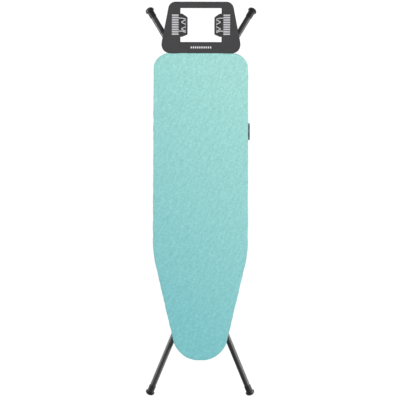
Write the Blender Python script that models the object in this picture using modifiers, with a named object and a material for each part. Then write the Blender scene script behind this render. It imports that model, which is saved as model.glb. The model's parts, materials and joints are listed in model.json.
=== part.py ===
# Folding ironing board with a moulded iron rest, modelled folded and lying on its four foot caps.
# Metres, +Z up. +Y points to the tail (iron rest) end, -Y to the rounded nose, X = 0 is the middle.
# Stations along the board are given as their distance from the cover's tail edge, growing to the nose.

from math import atan2, cos, pi, radians, sin, tan

import bmesh
import bpy
from mathutils import Matrix, Quaternion, Vector

# Board outline
BOARD_LENGTH = 1.150
BOARD_WIDTH = 0.354
TAIL_Y = 0.5464           # y of the cover's tail edge
TAIL_CORNER_R = 0.060
TAPER_STATION = 0.750     # where the sides start to run in
TAPER_SLOPE = 0.235       # metres in per metre along
TAPER_BLEND_R = 0.500

# Legs
LEG_TUBE_R = 0.011
LEG_WALL = 0.0012
BORE_SIDES = 8
LEG_BEND_R = 0.060
NOSE_LEG_X = 0.068        # outer frame, feet at the nose end
TAIL_LEG_X = 0.042        # inner frame, feet at the tail end
NOSE_FOOT_X = 0.188
TAIL_FOOT_X = 0.193
NOSE_FOOT_STATION = 1.273
TAIL_FOOT_STATION = -0.163
HINGE_STATION = 0.205     # outer frame on the board
CROSS_STATION = 0.555     # the two frames on each other
SLIDER_STATION = 2 * CROSS_STATION - HINGE_STATION
SPREADER_R = 0.008
NOSE_SPREADER_STATION = 1.010
TAIL_SPREADER_STATIONS = {"tail_spreader_lower": 0.040, "tail_spreader_upper": 0.300}

# Foot caps
CAP_FLANGE_R = 0.0168
CAP_SLEEVE_R = 0.0128
CAP_SLEEVE_LENGTH = 0.022
CAP_HEAD_LENGTH = 0.018

# Heights
GAP = 0.0003
RUN = 0.0001              # radial play of a turning pin
LEG_Z = CAP_FLANGE_R
DECK_Z = LEG_Z + 0.0365
DECK_THICKNESS = 0.0012
PAD_THICKNESS = 0.007
COVER_THICKNESS = 0.0015
RIM_R = 0.008
RIM_WALL = 0.0012
RIM_INSET = 0.012
RIM_Z = DECK_Z - GAP - RIM_R
PAD_Z = DECK_Z + DECK_THICKNESS + GAP
COVER_TOP = PAD_Z + PAD_THICKNESS + GAP + COVER_THICKNESS
HEM_Z = RIM_Z - RIM_R - 0.0005 - COVER_THICKNESS
HEM_WIDTH = 0.036
ELASTIC_R = 0.002

# Deck structure
BRACE_THICKNESS = 0.0025
BRACE_WIDTH = 0.030
BRACE_TOP = DECK_Z - GAP
BRACE_BOTTOM = BRACE_TOP - BRACE_THICKNESS
BRACES = {"brace_tail": HINGE_STATION, "brace_middle": 0.610, "brace_nose": 0.925}

# Slide channel
SLOT_HALF = 0.0054
AXLE_R = 0.005
CHANNEL_HALF_WIDTH = 0.012
CHANNEL_WALL = 0.002
CHANNEL_STATIONS = (0.598, 0.938)
CHANNEL_TOP = BRACE_BOTTOM - GAP
CHANNEL_BOTTOM = LEG_Z - SLOT_HALF - 0.005
NOTCH_RISE = 0.008
NOTCH_ANGLES = [52, 48, 44, 40, 36]

# Release lever
WIRE_R = 0.003
LEVER_X = 0.095
LEVER_Z = LEG_Z + 0.028
BAIL_X = 0.0215
BAIL_Z = LEG_Z + 0.017
BAIL_STATIONS = (0.628, 0.782)
GRIP_X = 0.1785
GRIP_Z = 0.017
GRIP_R = 0.0062
GRIP_STATIONS = (0.260, 0.324)
CLIP_STATIONS = {"lever_clip_tail": 0.412, "lever_clip_nose": 0.806}
CLIP_HALF = 0.008

# Iron rest
REST_TOP = 0.060
REST_PLATE = 0.0035
REST_BOTTOM = 0.0443
REST_WALL = 0.0025
REST_STATIONS = (-0.193, -0.0003)
REST_HALF_TAIL = 0.118    # half width at the far edge, before rounding
REST_HALF_BOARD = 0.155   # half width at the board's edge, before rounding
WINDOW_HALF = 0.077
WINDOW_STATIONS = (-0.170, -0.042)
INLAY_X = (0.084, 0.109)
INLAY_STATIONS = (-0.1445, -0.0685)
INLAY_RIBS = 9
INLAY_TOP = REST_TOP + 0.0018
EAR_TOP = REST_TOP - REST_PLATE - GAP
EAR_THICKNESS = 0.005
RAIL_HEIGHT = 0.0014       # the lattice's edge bar stays below its walls
STRAP_X = 0.101
STRAP_HALF_WIDTH = 0.011
STRAP_THICKNESS = 0.002
STRAP_LOW_Z = 0.0323
STRAP_REST_Z = REST_BOTTOM - GAP - STRAP_THICKNESS / 2
SCREW_STATIONS = {"tail": -0.158, "board": -0.026}

for stale in list(bpy.data.objects):
    bpy.data.objects.remove(stale, do_unlink=True)


def new_collection(name):
    collection = bpy.data.collections.new(name)
    bpy.context.scene.collection.children.link(collection)
    return collection


parts = new_collection("ironing_board")
cutters = new_collection("cutters")


def finish(name, colour, roughness, metallic=0.0):
    material = bpy.data.materials.new(name)
    material.use_nodes = True
    shader = material.node_tree.nodes["Principled BSDF"]
    shader.inputs["Base Color"].default_value = (*colour, 1.0)
    shader.inputs["Roughness"].default_value = roughness
    shader.inputs["Metallic"].default_value = metallic
    material.diffuse_color = (*colour, 1.0)
    return material


BLACK_PAINT = finish("black_paint", (0.018, 0.018, 0.020), 0.35)
GREY_PAINT = finish("grey_paint", (0.30, 0.31, 0.32), 0.45)
ZINC = finish("zinc", (0.62, 0.63, 0.64), 0.32, 1.0)
SPRING_STEEL = finish("spring_steel", (0.45, 0.45, 0.46), 0.28, 1.0)
CHARCOAL = finish("charcoal_plastic", (0.072, 0.072, 0.078), 0.55)
BLACK_PLASTIC = finish("black_plastic", (0.012, 0.012, 0.013), 0.45)
SILICONE = finish("grey_silicone", (0.48, 0.47, 0.49), 0.6)
COTTON = finish("turquoise_cotton", (0.30, 0.63, 0.62), 0.85)
FOAM = finish("foam", (0.82, 0.81, 0.76), 0.95)
ELASTIC = finish("white_elastic", (0.85, 0.85, 0.83), 0.8)


def along(station):
    return TAIL_Y - station


# Paths and outlines

def arc_at(before, corner, after, radius, steps):
    # points of the fillet that rounds one corner of a path
    back = (before - corner).normalized()
    ahead = (after - corner).normalized()
    half = back.angle(ahead) / 2
    start = corner + back * (radius / tan(half))
    centre = corner + (back + ahead).normalized() * (radius / sin(half))
    spoke = start - centre
    sweep = pi - 2 * half
    axis = back.cross(spoke)
    return [centre + Quaternion(axis, sweep * i / steps) @ spoke for i in range(steps + 1)]


def bent_path(points, radius, steps=6):
    # an open wire path with every inner corner bent to one radius
    points = [Vector(p) for p in points]
    path = [points[0]]
    for before, corner, after in zip(points, points[1:], points[2:]):
        path += arc_at(before, corner, after, radius, steps)
    return path + [points[-1]]


def rounded_outline(corners):
    # a closed flat outline from (x, y, radius, steps) corners; radius 0 keeps a corner sharp
    spots = [Vector((x, y, 0)) for x, y, radius, steps in corners]
    outline = []
    for i, (x, y, radius, steps) in enumerate(corners):
        if radius:
            outline += arc_at(spots[i - 1], spots[i], spots[(i + 1) % len(spots)], radius, steps)
        else:
            outline.append(spots[i])
    return outline


def inset(outline, distance):
    # a parallel outline, moved inwards; the outline runs anticlockwise
    moved = []
    for i, spot in enumerate(outline):
        back = (spot - outline[i - 1]).normalized()
        ahead = (outline[(i + 1) % len(outline)] - spot).normalized()
        mitre = (Vector((-back.y, back.x, 0)) + Vector((-ahead.y, ahead.x, 0))).normalized()
        moved.append(spot + mitre * (distance / mitre.dot(Vector((-back.y, back.x, 0)))))
    return moved


def board_outline(distance=0.0):
    # the cover's plan: square tail with rounded corners, straight sides, taper and round nose
    half = BOARD_WIDTH / 2
    nose_half = half - TAPER_SLOPE * (BOARD_LENGTH - TAPER_STATION)
    turn = pi / 2 - atan2(TAPER_SLOPE, 1)
    nose_r = nose_half / tan(turn / 2)
    side = [
        (nose_half, along(BOARD_LENGTH), nose_r * 0.97, 8),
        (half, along(TAPER_STATION), TAPER_BLEND_R, 2),
        (half, along(0), TAIL_CORNER_R, 5),
    ]
    mirrored = [(-x, y, radius, steps) for x, y, radius, steps in reversed(side)]
    return inset(rounded_outline(side + mirrored), distance)


def circle(x, y, radius, sides=16):
    return [Vector((x + radius * cos(2 * pi * i / sides), y + radius * sin(2 * pi * i / sides), 0))
            for i in range(sides)]


# Solids

def link(name, data, material, collection=None):
    item = bpy.data.objects.new(name, data)
    (collection or parts).objects.link(item)
    if material:
        data.materials.append(material)
    return item


def flat_curve(name, outlines, thickness, material, collection=None):
    curve = bpy.data.curves.new(name, "CURVE")
    curve.dimensions = "2D"
    curve.fill_mode = "BOTH"
    curve.extrude = thickness / 2
    curve.render_resolution_u = 0
    for outline in outlines:
        spline = curve.splines.new("POLY")
        spline.points.add(len(outline) - 1)
        for point, spot in zip(spline.points, outline):
            point.co = (spot.x, spot.y, 0, 1)
        spline.use_cyclic_u = True
    return link(name, curve, material, collection)


def plate_xy(name, outlines, low, high, material, collection=None):
    plate = flat_curve(name, outlines, high - low, material, collection)
    plate.location.z = (low + high) / 2
    return plate


def plate_yz(name, outline, low_x, high_x, material, collection=None):
    # the outline's x, y are the world's y, z
    plate = flat_curve(name, [outline], high_x - low_x, material, collection)
    turn = Matrix(((0, 0, 1), (1, 0, 0), (0, 1, 0))).to_4x4()
    plate.matrix_world = Matrix.Translation(((low_x + high_x) / 2, 0, 0)) @ turn
    return plate


def plate_xz(name, outline, low_y, high_y, material, collection=None):
    # the outline's x, y are the world's x, z
    plate = flat_curve(name, [outline], high_y - low_y, material, collection)
    turn = Matrix(((1, 0, 0), (0, 0, -1), (0, 1, 0))).to_4x4()
    plate.matrix_world = Matrix.Translation((0, (low_y + high_y) / 2, 0)) @ turn
    return plate


def rod(name, path, radius, material, sides=16, closed=False, collection=None):
    curve = bpy.data.curves.new(name, "CURVE")
    curve.dimensions = "3D"
    curve.bevel_depth = radius
    curve.bevel_resolution = (sides - 4) // 2
    curve.use_fill_caps = not closed
    curve.render_resolution_u = 0
    spline = curve.splines.new("POLY")
    spline.points.add(len(path) - 1)
    for point, spot in zip(spline.points, path):
        point.co = (*spot, 1)
    spline.use_cyclic_u = closed
    return link(name, curve, material, collection)


def as_mesh(item):
    # a curve's solid as a welded mesh object, which modifiers can cut
    bpy.context.view_layer.update()
    depsgraph = bpy.context.evaluated_depsgraph_get()
    mesh = bpy.data.meshes.new_from_object(item.evaluated_get(depsgraph))
    welder = bmesh.new()
    welder.from_mesh(mesh)
    bmesh.ops.remove_doubles(welder, verts=welder.verts, dist=0.00001)
    bmesh.ops.recalc_face_normals(welder, faces=welder.faces)
    if welder.calc_volume(signed=True) < 0:
        bmesh.ops.reverse_faces(welder, faces=welder.faces)
    welder.to_mesh(mesh)
    welder.free()
    name = item.name
    place = item.matrix_world.copy()
    collection = item.users_collection[0]
    bpy.data.objects.remove(item, do_unlink=True)
    solid = bpy.data.objects.new(name, mesh)
    mesh.name = name
    solid.matrix_world = place
    collection.objects.link(solid)
    return solid


def pointing(origin, direction):
    # a frame with its z along direction, for turned pieces and cylinders
    z = Vector(direction).normalized()
    x = Vector((0, 0, 1)) if abs(z.z) < 0.9 else Vector((1, 0, 0))
    x = (x - z * x.dot(z)).normalized()
    y = z.cross(x)
    turn = Matrix((x, y, z)).transposed().to_4x4()
    return Matrix.Translation(origin) @ turn


def cylinder(name, start, end, radius, material, sides=24, collection=None):
    mesh = bpy.data.meshes.new(name)
    builder = bmesh.new()
    start = Vector(start)
    end = Vector(end)
    bmesh.ops.create_cone(builder, cap_ends=True, segments=sides, radius1=radius, radius2=radius,
                          depth=(end - start).length)
    builder.to_mesh(mesh)
    builder.free()
    item = link(name, mesh, material, collection)
    item.matrix_world = pointing((start + end) / 2, end - start)
    return item


def box(name, low, high, material, collection=None):
    mesh = bpy.data.meshes.new(name)
    low = Vector(low)
    high = Vector(high)
    size = high - low
    builder = bmesh.new()
    bmesh.ops.create_cube(builder, size=1.0)
    bmesh.ops.scale(builder, vec=size, verts=builder.verts)
    builder.to_mesh(mesh)
    builder.free()
    item = link(name, mesh, material, collection)
    item.location = (low + high) / 2
    return item


def turned(name, profile, origin, direction, material, sides=20):
    # a profile of (radius, height) points, from the axis at the top down the outside to the axis
    mesh = bpy.data.meshes.new(name)
    spots = [(radius, 0, height) for radius, height in profile]
    mesh.from_pydata(spots, [(i, i + 1) for i in range(len(spots) - 1)], [])
    item = link(name, mesh, material)
    spin = item.modifiers.new("spin", "SCREW")
    spin.steps = sides
    spin.render_steps = sides
    spin.use_merge_vertices = True
    spin.merge_threshold = 0.00001
    item.matrix_world = pointing(origin, direction)
    return item


def cut(item, cutter):
    cutter.hide_render = True
    cutter.display_type = "WIRE"
    hole = item.modifiers.new(cutter.name, "BOOLEAN")
    hole.operation = "DIFFERENCE"
    hole.object = cutter


def join(item, piece):
    piece.hide_render = True
    piece.display_type = "WIRE"
    union = item.modifiers.new(piece.name, "BOOLEAN")
    union.operation = "UNION"
    union.object = piece


def drill(item, start, end, radius, sides=24):
    cut(item, cylinder(item.name + "_drill", start, end, radius, None, sides, cutters))


def hollow_tube(name, path, radius, wall, material):
    # a round tube, open at both ends
    tube = as_mesh(rod(name, path, radius, material))
    first = path[0] + (path[0] - path[1]).normalized() * 0.002
    last = path[-1] + (path[-1] - path[-2]).normalized() * 0.002
    bore_path = [first] + path[1:-1] + [last]
    cut(tube, as_mesh(rod(name + "_bore", bore_path, radius - wall, None, BORE_SIDES,
                      collection=cutters)))
    return tube


def pivot(name, x, station, z):
    # an empty on a joint's axis, which carries the pieces that turn about it
    empty = bpy.data.objects.new(name, None)
    empty.location = (x, along(station), z)
    parts.objects.link(empty)
    return empty


def hang_on(empty, *items):
    bpy.context.view_layer.update()
    for item in items:
        place = item.matrix_world.copy()
        item.parent = empty
        item.matrix_parent_inverse = empty.matrix_world.inverted()
        item.matrix_world = place


SIDES = (("left", -1), ("right", 1))


# Board: rim, deck, braces

def build_rim():
    rim_path = [Vector((p.x, p.y, RIM_Z)) for p in board_outline(RIM_INSET)]
    rim = as_mesh(rod("rim_tube", rim_path, RIM_R, BLACK_PAINT, 12, closed=True))
    bore = rod("rim_bore", rim_path, RIM_R - RIM_WALL, None, BORE_SIDES, closed=True, collection=cutters)
    bore = as_mesh(bore)
    # the drain hole under the tail opens the tube's hollow
    drain = Vector((0, along(RIM_INSET), RIM_Z))
    join(bore, cylinder("rim_drain", drain, drain - Vector((0, 0, 0.010)), 0.0025, None, 12, cutters))
    cut(rim, bore)


def build_deck():
    plate_xy("deck_mesh", [board_outline(0.006)], DECK_Z, DECK_Z + DECK_THICKNESS, GREY_PAINT)


def rim_half_width(station):
    # half width of the rim's inner side at a station
    half = BOARD_WIDTH / 2 - max(0.0, station - TAPER_STATION) * TAPER_SLOPE
    return half - RIM_INSET - RIM_R


def build_brace(name, station):
    half = rim_half_width(station + BRACE_WIDTH / 2) - 0.003
    low = (-half, along(station) - BRACE_WIDTH / 2, BRACE_BOTTOM)
    high = (half, along(station) + BRACE_WIDTH / 2, BRACE_TOP)
    return box(name, low, high, BLACK_PAINT)


def build_rivet(name, x, station, z, item_above, item_below):
    # a domed rivet pushed up through two sheets, flush with the brace's top
    shank_r = 0.002
    grip = BRACE_TOP - z
    for item in (item_above, item_below):
        drill(item, (x, along(station), z - 0.01), (x, along(station), z + 0.01), shank_r + GAP, 12)
    profile = [(0, grip), (shank_r, grip), (shank_r, -GAP), (0.004, -GAP), (0.0036, -0.0012), (0, -0.0018)]
    turned(name, profile, (x, along(station), z), (0, 0, 1), ZINC, 12)


# Slide channel under the deck

def slot_outline():
    # the long slot, with rounded notches in its upper edge that face the deck
    low = LEG_Z - SLOT_HALF
    high = LEG_Z + SLOT_HALF
    nose_end = along(SLIDER_STATION) - SLOT_HALF - 0.002
    first_notch = along(notch_station(NOTCH_ANGLES[0]))
    outline = [Vector((first_notch + SLOT_HALF, low, 0)), Vector((first_notch + SLOT_HALF, high, 0))]
    for angle in NOTCH_ANGLES:
        y = along(notch_station(angle))
        top = LEG_Z + NOTCH_RISE
        for i in range(7):
            turn = pi * i / 6
            outline.append(Vector((y + SLOT_HALF * cos(turn), top + SLOT_HALF * sin(turn), 0)))
        outline.append(Vector((y - SLOT_HALF, high, 0)))
        if angle != NOTCH_ANGLES[-1]:
            outline.append(Vector((along(notch_station(angle - 4)) + SLOT_HALF * 2, high, 0)))
    outline += [Vector((nose_end, high, 0)), Vector((nose_end, low, 0))]
    return list(reversed(outline))


def notch_station(angle):
    return HINGE_STATION + (SLIDER_STATION - HINGE_STATION) * cos(radians(angle))


def build_channel():
    w = CHANNEL_HALF_WIDTH
    t = CHANNEL_WALL
    section = [(-w, CHANNEL_BOTTOM), (-w + t, CHANNEL_BOTTOM), (-w + t, CHANNEL_TOP - t),
               (w - t, CHANNEL_TOP - t), (w - t, CHANNEL_BOTTOM), (w, CHANNEL_BOTTOM),
               (w, CHANNEL_TOP), (-w, CHANNEL_TOP)]
    section = [Vector((x, z, 0)) for x, z in section]
    start, end = CHANNEL_STATIONS
    channel = as_mesh(plate_xz("slide_channel", section, along(end), along(start), ZINC))
    slot = plate_yz("slot_cutter", slot_outline(), -0.02, 0.02, None, cutters)
    cut(channel, as_mesh(slot))
    return channel


# Hinge of the outer frame

def build_hinge(side, sign, brace):
    inner = TAIL_LEG_X + LEG_TUBE_R + 0.0013
    outer = NOSE_LEG_X + LEG_TUBE_R + 0.0029
    t = 0.0018
    foot = LEG_Z - 0.011
    top = BRACE_BOTTOM - GAP
    section = [(inner, foot), (inner + t, foot), (inner + t, top - t), (outer - t, top - t),
               (outer - t, foot), (outer, foot), (outer, top), (inner, top)]
    section = [Vector((sign * x, z, 0)) for x, z in section]
    y = along(HINGE_STATION)
    bracket = as_mesh(plate_xz("hinge_bracket_" + side, section, y - 0.014, y + 0.014, ZINC))
    drill(bracket, (sign * 0.050, y, LEG_Z), (sign * 0.090, y, LEG_Z), 0.004 + RUN)
    profile = [(0, 0.0045), (0.004, 0.0045), (0.0068, 0.003), (0.0068, 0), (0.004, 0),
               (0.004, inner - outer), (0, inner - outer)]
    turned("hinge_pin_" + side, profile, (sign * (outer + GAP), y, LEG_Z), (sign, 0, 0), ZINC, 24)
    build_rivet("hinge_rivet_" + side, sign * NOSE_LEG_X, HINGE_STATION, top - t, brace, bracket)


# Release lever with its clips, grip and spring

def lever_path():
    tail, nose = BAIL_STATIONS
    lead = 0.010
    spots = [
        (GRIP_X, GRIP_STATIONS[0] + 0.012, GRIP_Z),
        (GRIP_X, 0.346, GRIP_Z),
        (0.125, 0.353, 0.022),
        (LEVER_X, 0.366, LEVER_Z),
        (LEVER_X, tail - lead, LEVER_Z),
        (BAIL_X, tail - lead, LEVER_Z),
        (BAIL_X, tail, BAIL_Z),
        (BAIL_X, nose, BAIL_Z),
        (BAIL_X, nose + lead, LEVER_Z),
        (LEVER_X, nose + lead, LEVER_Z),
        (LEVER_X, 0.824, LEVER_Z),
    ]
    return bent_path([(x, along(station), z) for x, station, z in spots], 0.005, 3)


def build_lever(empty):
    wire = rod("lever_wire", lever_path(), WIRE_R, ZINC, 8)
    start, end = GRIP_STATIONS
    grip = box("lever_grip", (GRIP_X - GRIP_R, along(end), GRIP_Z - GRIP_R),
               (GRIP_X + GRIP_R, along(start), GRIP_Z + GRIP_R), BLACK_PLASTIC)
    rounding = grip.modifiers.new("rounding", "BEVEL")
    rounding.width = 0.003
    rounding.segments = 2
    drill(grip, (GRIP_X, along(end) - 0.002, GRIP_Z), (GRIP_X, along(start) - 0.010, GRIP_Z),
          WIRE_R + GAP, 16)
    hang_on(empty, wire, grip)


def build_clip(name, station):
    low = (LEVER_X - CLIP_HALF, along(station) - CLIP_HALF, LEVER_Z - 0.006)
    high = (LEVER_X + CLIP_HALF, along(station) + CLIP_HALF, DECK_Z - GAP)
    clip = box(name, low, high, BLACK_PLASTIC)
    reach = Vector((0, 0.012, 0))
    centre = Vector((LEVER_X, along(station), LEVER_Z))
    drill(clip, centre - reach, centre + reach, WIRE_R + RUN * 2, 20)


def spring_path():
    # a torsion coil round the lever's shaft, one leg on the crank and one under the deck
    coil_r = 0.0046
    turns = 6
    steps = 10
    start_turn = radians(51)
    first = 0.3725
    pitch = 0.0034
    count = int(steps * (turns + 0.1)) + 1
    path = [Vector((0.1145, along(0.3565), 0.0362))]
    for i in range(count + 1):
        turn = start_turn + 2 * pi * i / steps
        station = first + pitch * i / steps
        path.append(Vector((LEVER_X + coil_r * cos(turn), along(station), LEVER_Z + coil_r * sin(turn))))
    end = path[-1]
    return path + [end + Vector((-0.013, 0, 0.0015))]


# Iron rest

def rest_outline():
    far, near = REST_STATIONS
    half = [(REST_HALF_BOARD, along(near), 0.034, 6), (REST_HALF_TAIL, along(far), 0.027, 6)]
    return rounded_outline(half + [(-x, y, radius, steps) for x, y, radius, steps in reversed(half)])


def window_outline(grow=0.0):
    far, near = WINDOW_STATIONS
    x = WINDOW_HALF + grow
    corners = [(x, along(near) - grow), (x, along(far) + grow), (-x, along(far) + grow),
               (-x, along(near) - grow)]
    return rounded_outline([(cx, cy, 0.003 + grow, 2) for cx, cy in corners])


def build_rest():
    tray = as_mesh(plate_xy("iron_rest", [rest_outline(), window_outline()], REST_BOTTOM, REST_TOP,
                            CHARCOAL))
    bosses = [circle(sign * STRAP_X, along(station), 0.005) for side, sign in SIDES
              for station in SCREW_STATIONS.values()]
    pocket = plate_xy("rest_pocket", [inset(rest_outline(), REST_WALL), window_outline(REST_WALL)] + bosses,
                      REST_BOTTOM - 0.002, REST_TOP - REST_PLATE, None, cutters)
    cut(tray, as_mesh(pocket))
    for side, sign in SIDES:
        far, near = INLAY_STATIONS
        spread = sorted((sign * (INLAY_X[0] - GAP), sign * (INLAY_X[1] + GAP)))
        cut(tray, box("recess_" + side, (spread[0], along(near) - GAP, REST_TOP - 0.0015),
                      (spread[1], along(far) + GAP, REST_TOP + 0.005), None, cutters))
        spread = sorted((sign * (WINDOW_HALF - 0.002), sign * (WINDOW_HALF + REST_WALL + 0.001)))
        cut(tray, box("ear_gap_" + side, (spread[0], along(-0.060), REST_BOTTOM - 0.002),
                      (spread[1], along(-0.151), REST_TOP - REST_PLATE), None, cutters))
        for station in SCREW_STATIONS.values():
            spot = Vector((sign * STRAP_X, along(station), REST_BOTTOM))
            drill(tray, spot - Vector((0, 0, 0.002)), spot + Vector((0, 0, 0.011)), 0.002 + GAP, 12)


def build_ear(side, sign):
    corners = [(0.050, -0.0705, 0.003, 2), (0.050, -0.1345, 0.004, 2), (0.070, -0.1485, 0.012, 3),
               (0.088, -0.1485, 0.002, 1), (0.088, -0.0615, 0.002, 1), (0.070, -0.0615, 0.012, 3)]
    outline = rounded_outline([(sign * x, along(station), radius, steps)
                               for x, station, radius, steps in corners])
    plate_xy("rest_ear_" + side, [outline], EAR_TOP - EAR_THICKNESS, EAR_TOP, BLACK_PLASTIC)


def build_inlay(side, sign):
    # a ribbed pad let into the tray, cut from one comb-shaped section
    far, near = INLAY_STATIONS
    low = REST_TOP - 0.0015 + GAP
    root = REST_TOP - 0.0004
    pitch = (near - far) / (INLAY_RIBS - 0.45)
    rib = pitch * 0.55
    section = [Vector((along(near), low, 0)), Vector((along(far), low, 0))]
    for i in range(INLAY_RIBS):
        y = along(far) - i * pitch
        section += [Vector((y, INLAY_TOP, 0)), Vector((y - rib, INLAY_TOP, 0))]
        if i < INLAY_RIBS - 1:
            section += [Vector((y - rib, root, 0)), Vector((y - pitch, root, 0))]
    spread = sorted((sign * INLAY_X[0], sign * INLAY_X[1]))
    plate_yz("rest_inlay_" + side, section, spread[0], spread[1], SILICONE)


def bar(name, start, end, width, low, high):
    # a straight upright wall between two plan points
    start = Vector((*start, 0))
    end = Vector((*end, 0))
    run = (end - start).normalized()
    wide = Vector((-run.y, run.x, 0)) * (width / 2)
    outline = [start - wide, end - wide, end + wide, start + wide]
    return as_mesh(plate_xy(name, [outline], low, high, SILICONE, cutters))


def build_truss(side, sign):
    # the soft lattice on the ear: an edge bar, two runners on to the tray and two chevrons
    low = EAR_TOP + GAP
    rail = plate_xy("rest_truss_" + side,
                    [[Vector((sign * x, along(station), 0)) for x, station in
                      ((0.0560, -0.0760), (0.0560, -0.1290), (0.0590, -0.1290), (0.0590, -0.0760))]],
                    low + 0.0001, low + RAIL_HEIGHT, SILICONE)
    rail = as_mesh(rail)
    walls = []
    for station, bend in ((-0.131, -0.1275), (-0.0825, -0.0775)):
        walls.append(((0.0575, bend), (0.071, station), low))
        walls.append(((0.070, station), (0.0760, station), low))
        walls.append(((0.0750, station), (0.0836, station), REST_TOP + GAP))
    for apex, spread in ((-0.1160, 0.0085), (-0.0905, 0.0085)):
        walls.append(((0.0575, apex - spread), (0.0735, apex - 0.0005), low))
        walls.append(((0.0575, apex + spread), (0.0735, apex + 0.0005), low))
    for i, (start, end, base) in enumerate(walls):
        start = (sign * start[0], along(start[1]))
        end = (sign * end[0], along(end[1]))
        join(rail, bar("truss_wall_" + side + str(i), start, end, 0.0032, base, INLAY_TOP))


def strap_section():
    # side view of the bent strap: brace, under the hem, then up to the tray
    spots = [(0.220, BRACE_BOTTOM - GAP - STRAP_THICKNESS / 2), (0.130, BRACE_BOTTOM - GAP - 0.001),
             (0.080, STRAP_LOW_Z), (-0.004, STRAP_LOW_Z), (-0.016, STRAP_REST_Z), (-0.172, STRAP_REST_Z)]
    line = bent_path([(along(station), z, 0) for station, z in spots], 0.006, 3)
    upper = []
    lower = []
    for i, spot in enumerate(line):
        back = (spot - line[max(i - 1, 0)]).normalized() if i else (line[1] - spot).normalized()
        ahead = (line[i + 1] - spot).normalized() if i < len(line) - 1 else back
        run = (back + ahead).normalized()
        side = Vector((-run.y, run.x, 0)) * (STRAP_THICKNESS / 2)
        upper.append(spot + side)
        lower.append(spot - side)
    return lower + list(reversed(upper))


def build_strap(side, sign, brace):
    x = sign * STRAP_X
    strap = as_mesh(plate_yz("rest_strap_" + side, strap_section(), x - STRAP_HALF_WIDTH,
                             x + STRAP_HALF_WIDTH, BLACK_PAINT))
    for where, station in SCREW_STATIONS.items():
        y = along(station)
        drill(strap, (x, y, STRAP_REST_Z - 0.005), (x, y, STRAP_REST_Z + 0.005), 0.002 + GAP, 12)
        below = STRAP_REST_Z - STRAP_THICKNESS / 2 - GAP
        profile = [(0, 0.011), (0.002, 0.011), (0.002, 0), (0.0038, 0), (0.0036, -0.0016), (0, -0.0022)]
        turned("rest_screw_" + where + "_" + side, profile, (x, y, below), (0, 0, 1), ZINC, 12)
    top = BRACE_BOTTOM - GAP - STRAP_THICKNESS
    build_rivet("strap_rivet_" + side, x, HINGE_STATION, top, brace, strap)


# Soft goods

def build_pad():
    plate_xy("foam_pad", [board_outline(0.003)], PAD_Z, PAD_Z + PAD_THICKNESS, FOAM)


def build_cover():
    cover = as_mesh(plate_xy("cover", [board_outline()], HEM_Z, COVER_TOP, COTTON))
    inside = plate_xy("cover_inside", [board_outline(COVER_THICKNESS)], HEM_Z + COVER_THICKNESS,
                      COVER_TOP - COVER_THICKNESS, None, cutters)
    inside = as_mesh(inside)
    mouth = plate_xy("cover_mouth", [board_outline(HEM_WIDTH)], HEM_Z - 0.005,
                     HEM_Z + COVER_THICKNESS + 0.005, None, cutters)
    join(inside, as_mesh(mouth))
    cut(cover, inside)
    loop = board_outline(HEM_WIDTH + GAP + ELASTIC_R)
    elastic = [Vector((p.x, p.y, HEM_Z + COVER_THICKNESS / 2)) for p in loop]
    rod("hem_elastic", elastic, ELASTIC_R, ELASTIC, 6, closed=True)


# Leg frames

def foot_x(foot_station):
    return NOSE_FOOT_X if foot_station > 0 else TAIL_FOOT_X


def leg_line(frame_x, foot_station, end_station, sign, cap_gap):
    # from the upper end, round the bend, to just short of the cap's floor
    foot = Vector((sign * foot_x(foot_station), along(foot_station), LEG_Z))
    knee = Vector((sign * frame_x, along(knee_station(frame_x, foot_station)), LEG_Z))
    end = Vector((sign * frame_x, along(end_station), LEG_Z))
    stop = foot + (knee - foot).normalized() * cap_gap
    return bent_path([end, knee, stop], LEG_BEND_R, 4)


def knee_station(frame_x, foot_station):
    splay = radians(22.5) if foot_station > 0 else radians(31)
    run = (foot_x(foot_station) - frame_x) / tan(splay)
    return foot_station - run if foot_station > 0 else foot_station + run


def leg_half_at(frame_x, foot_station, station):
    # half width between the leg tubes' middles at a station
    knee = knee_station(frame_x, foot_station)
    share = (station - knee) / (foot_station - knee)
    return frame_x + (foot_x(foot_station) - frame_x) * max(0.0, share)


def build_cap(name, sign, frame_x, foot_station):
    # a push-on cap: bored sleeve, mushroom head
    foot = Vector((sign * foot_x(foot_station), along(foot_station), LEG_Z))
    knee = Vector((sign * frame_x, along(knee_station(frame_x, foot_station)), LEG_Z))
    bore_r = LEG_TUBE_R + GAP
    head = 0.006
    dome = CAP_HEAD_LENGTH - head
    profile = [(0, head), (bore_r, head), (bore_r, head + CAP_SLEEVE_LENGTH),
               (CAP_SLEEVE_R - 0.0006, head + CAP_SLEEVE_LENGTH),
               (CAP_SLEEVE_R, head + CAP_SLEEVE_LENGTH - 0.001), (CAP_SLEEVE_R, head),
               (CAP_FLANGE_R - 0.001, head - 0.0005), (CAP_FLANGE_R, head - 0.002), (CAP_FLANGE_R, 0)]
    for i in range(1, 5):
        turn = pi / 2 * i / 5
        profile.append((CAP_FLANGE_R * cos(turn), -dome * sin(turn)))
    profile.append((0, -dome))
    return turned(name, profile, foot, knee - foot, BLACK_PLASTIC, 20)


def build_plug(name, x, station, direction):
    # a domed insert that closes the tube's upper end
    bore = (LEG_TUBE_R - LEG_WALL) * cos(pi / BORE_SIDES) - GAP
    profile = [(0, 0.0022), (0.006, 0.0018), (LEG_TUBE_R - 0.001, 0.0008), (LEG_TUBE_R - 0.001, GAP),
               (bore, GAP), (bore, -0.004), (0, -0.004)]
    return turned(name, profile, (x, along(station), LEG_Z), (0, direction, 0), BLACK_PLASTIC, 16)


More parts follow.
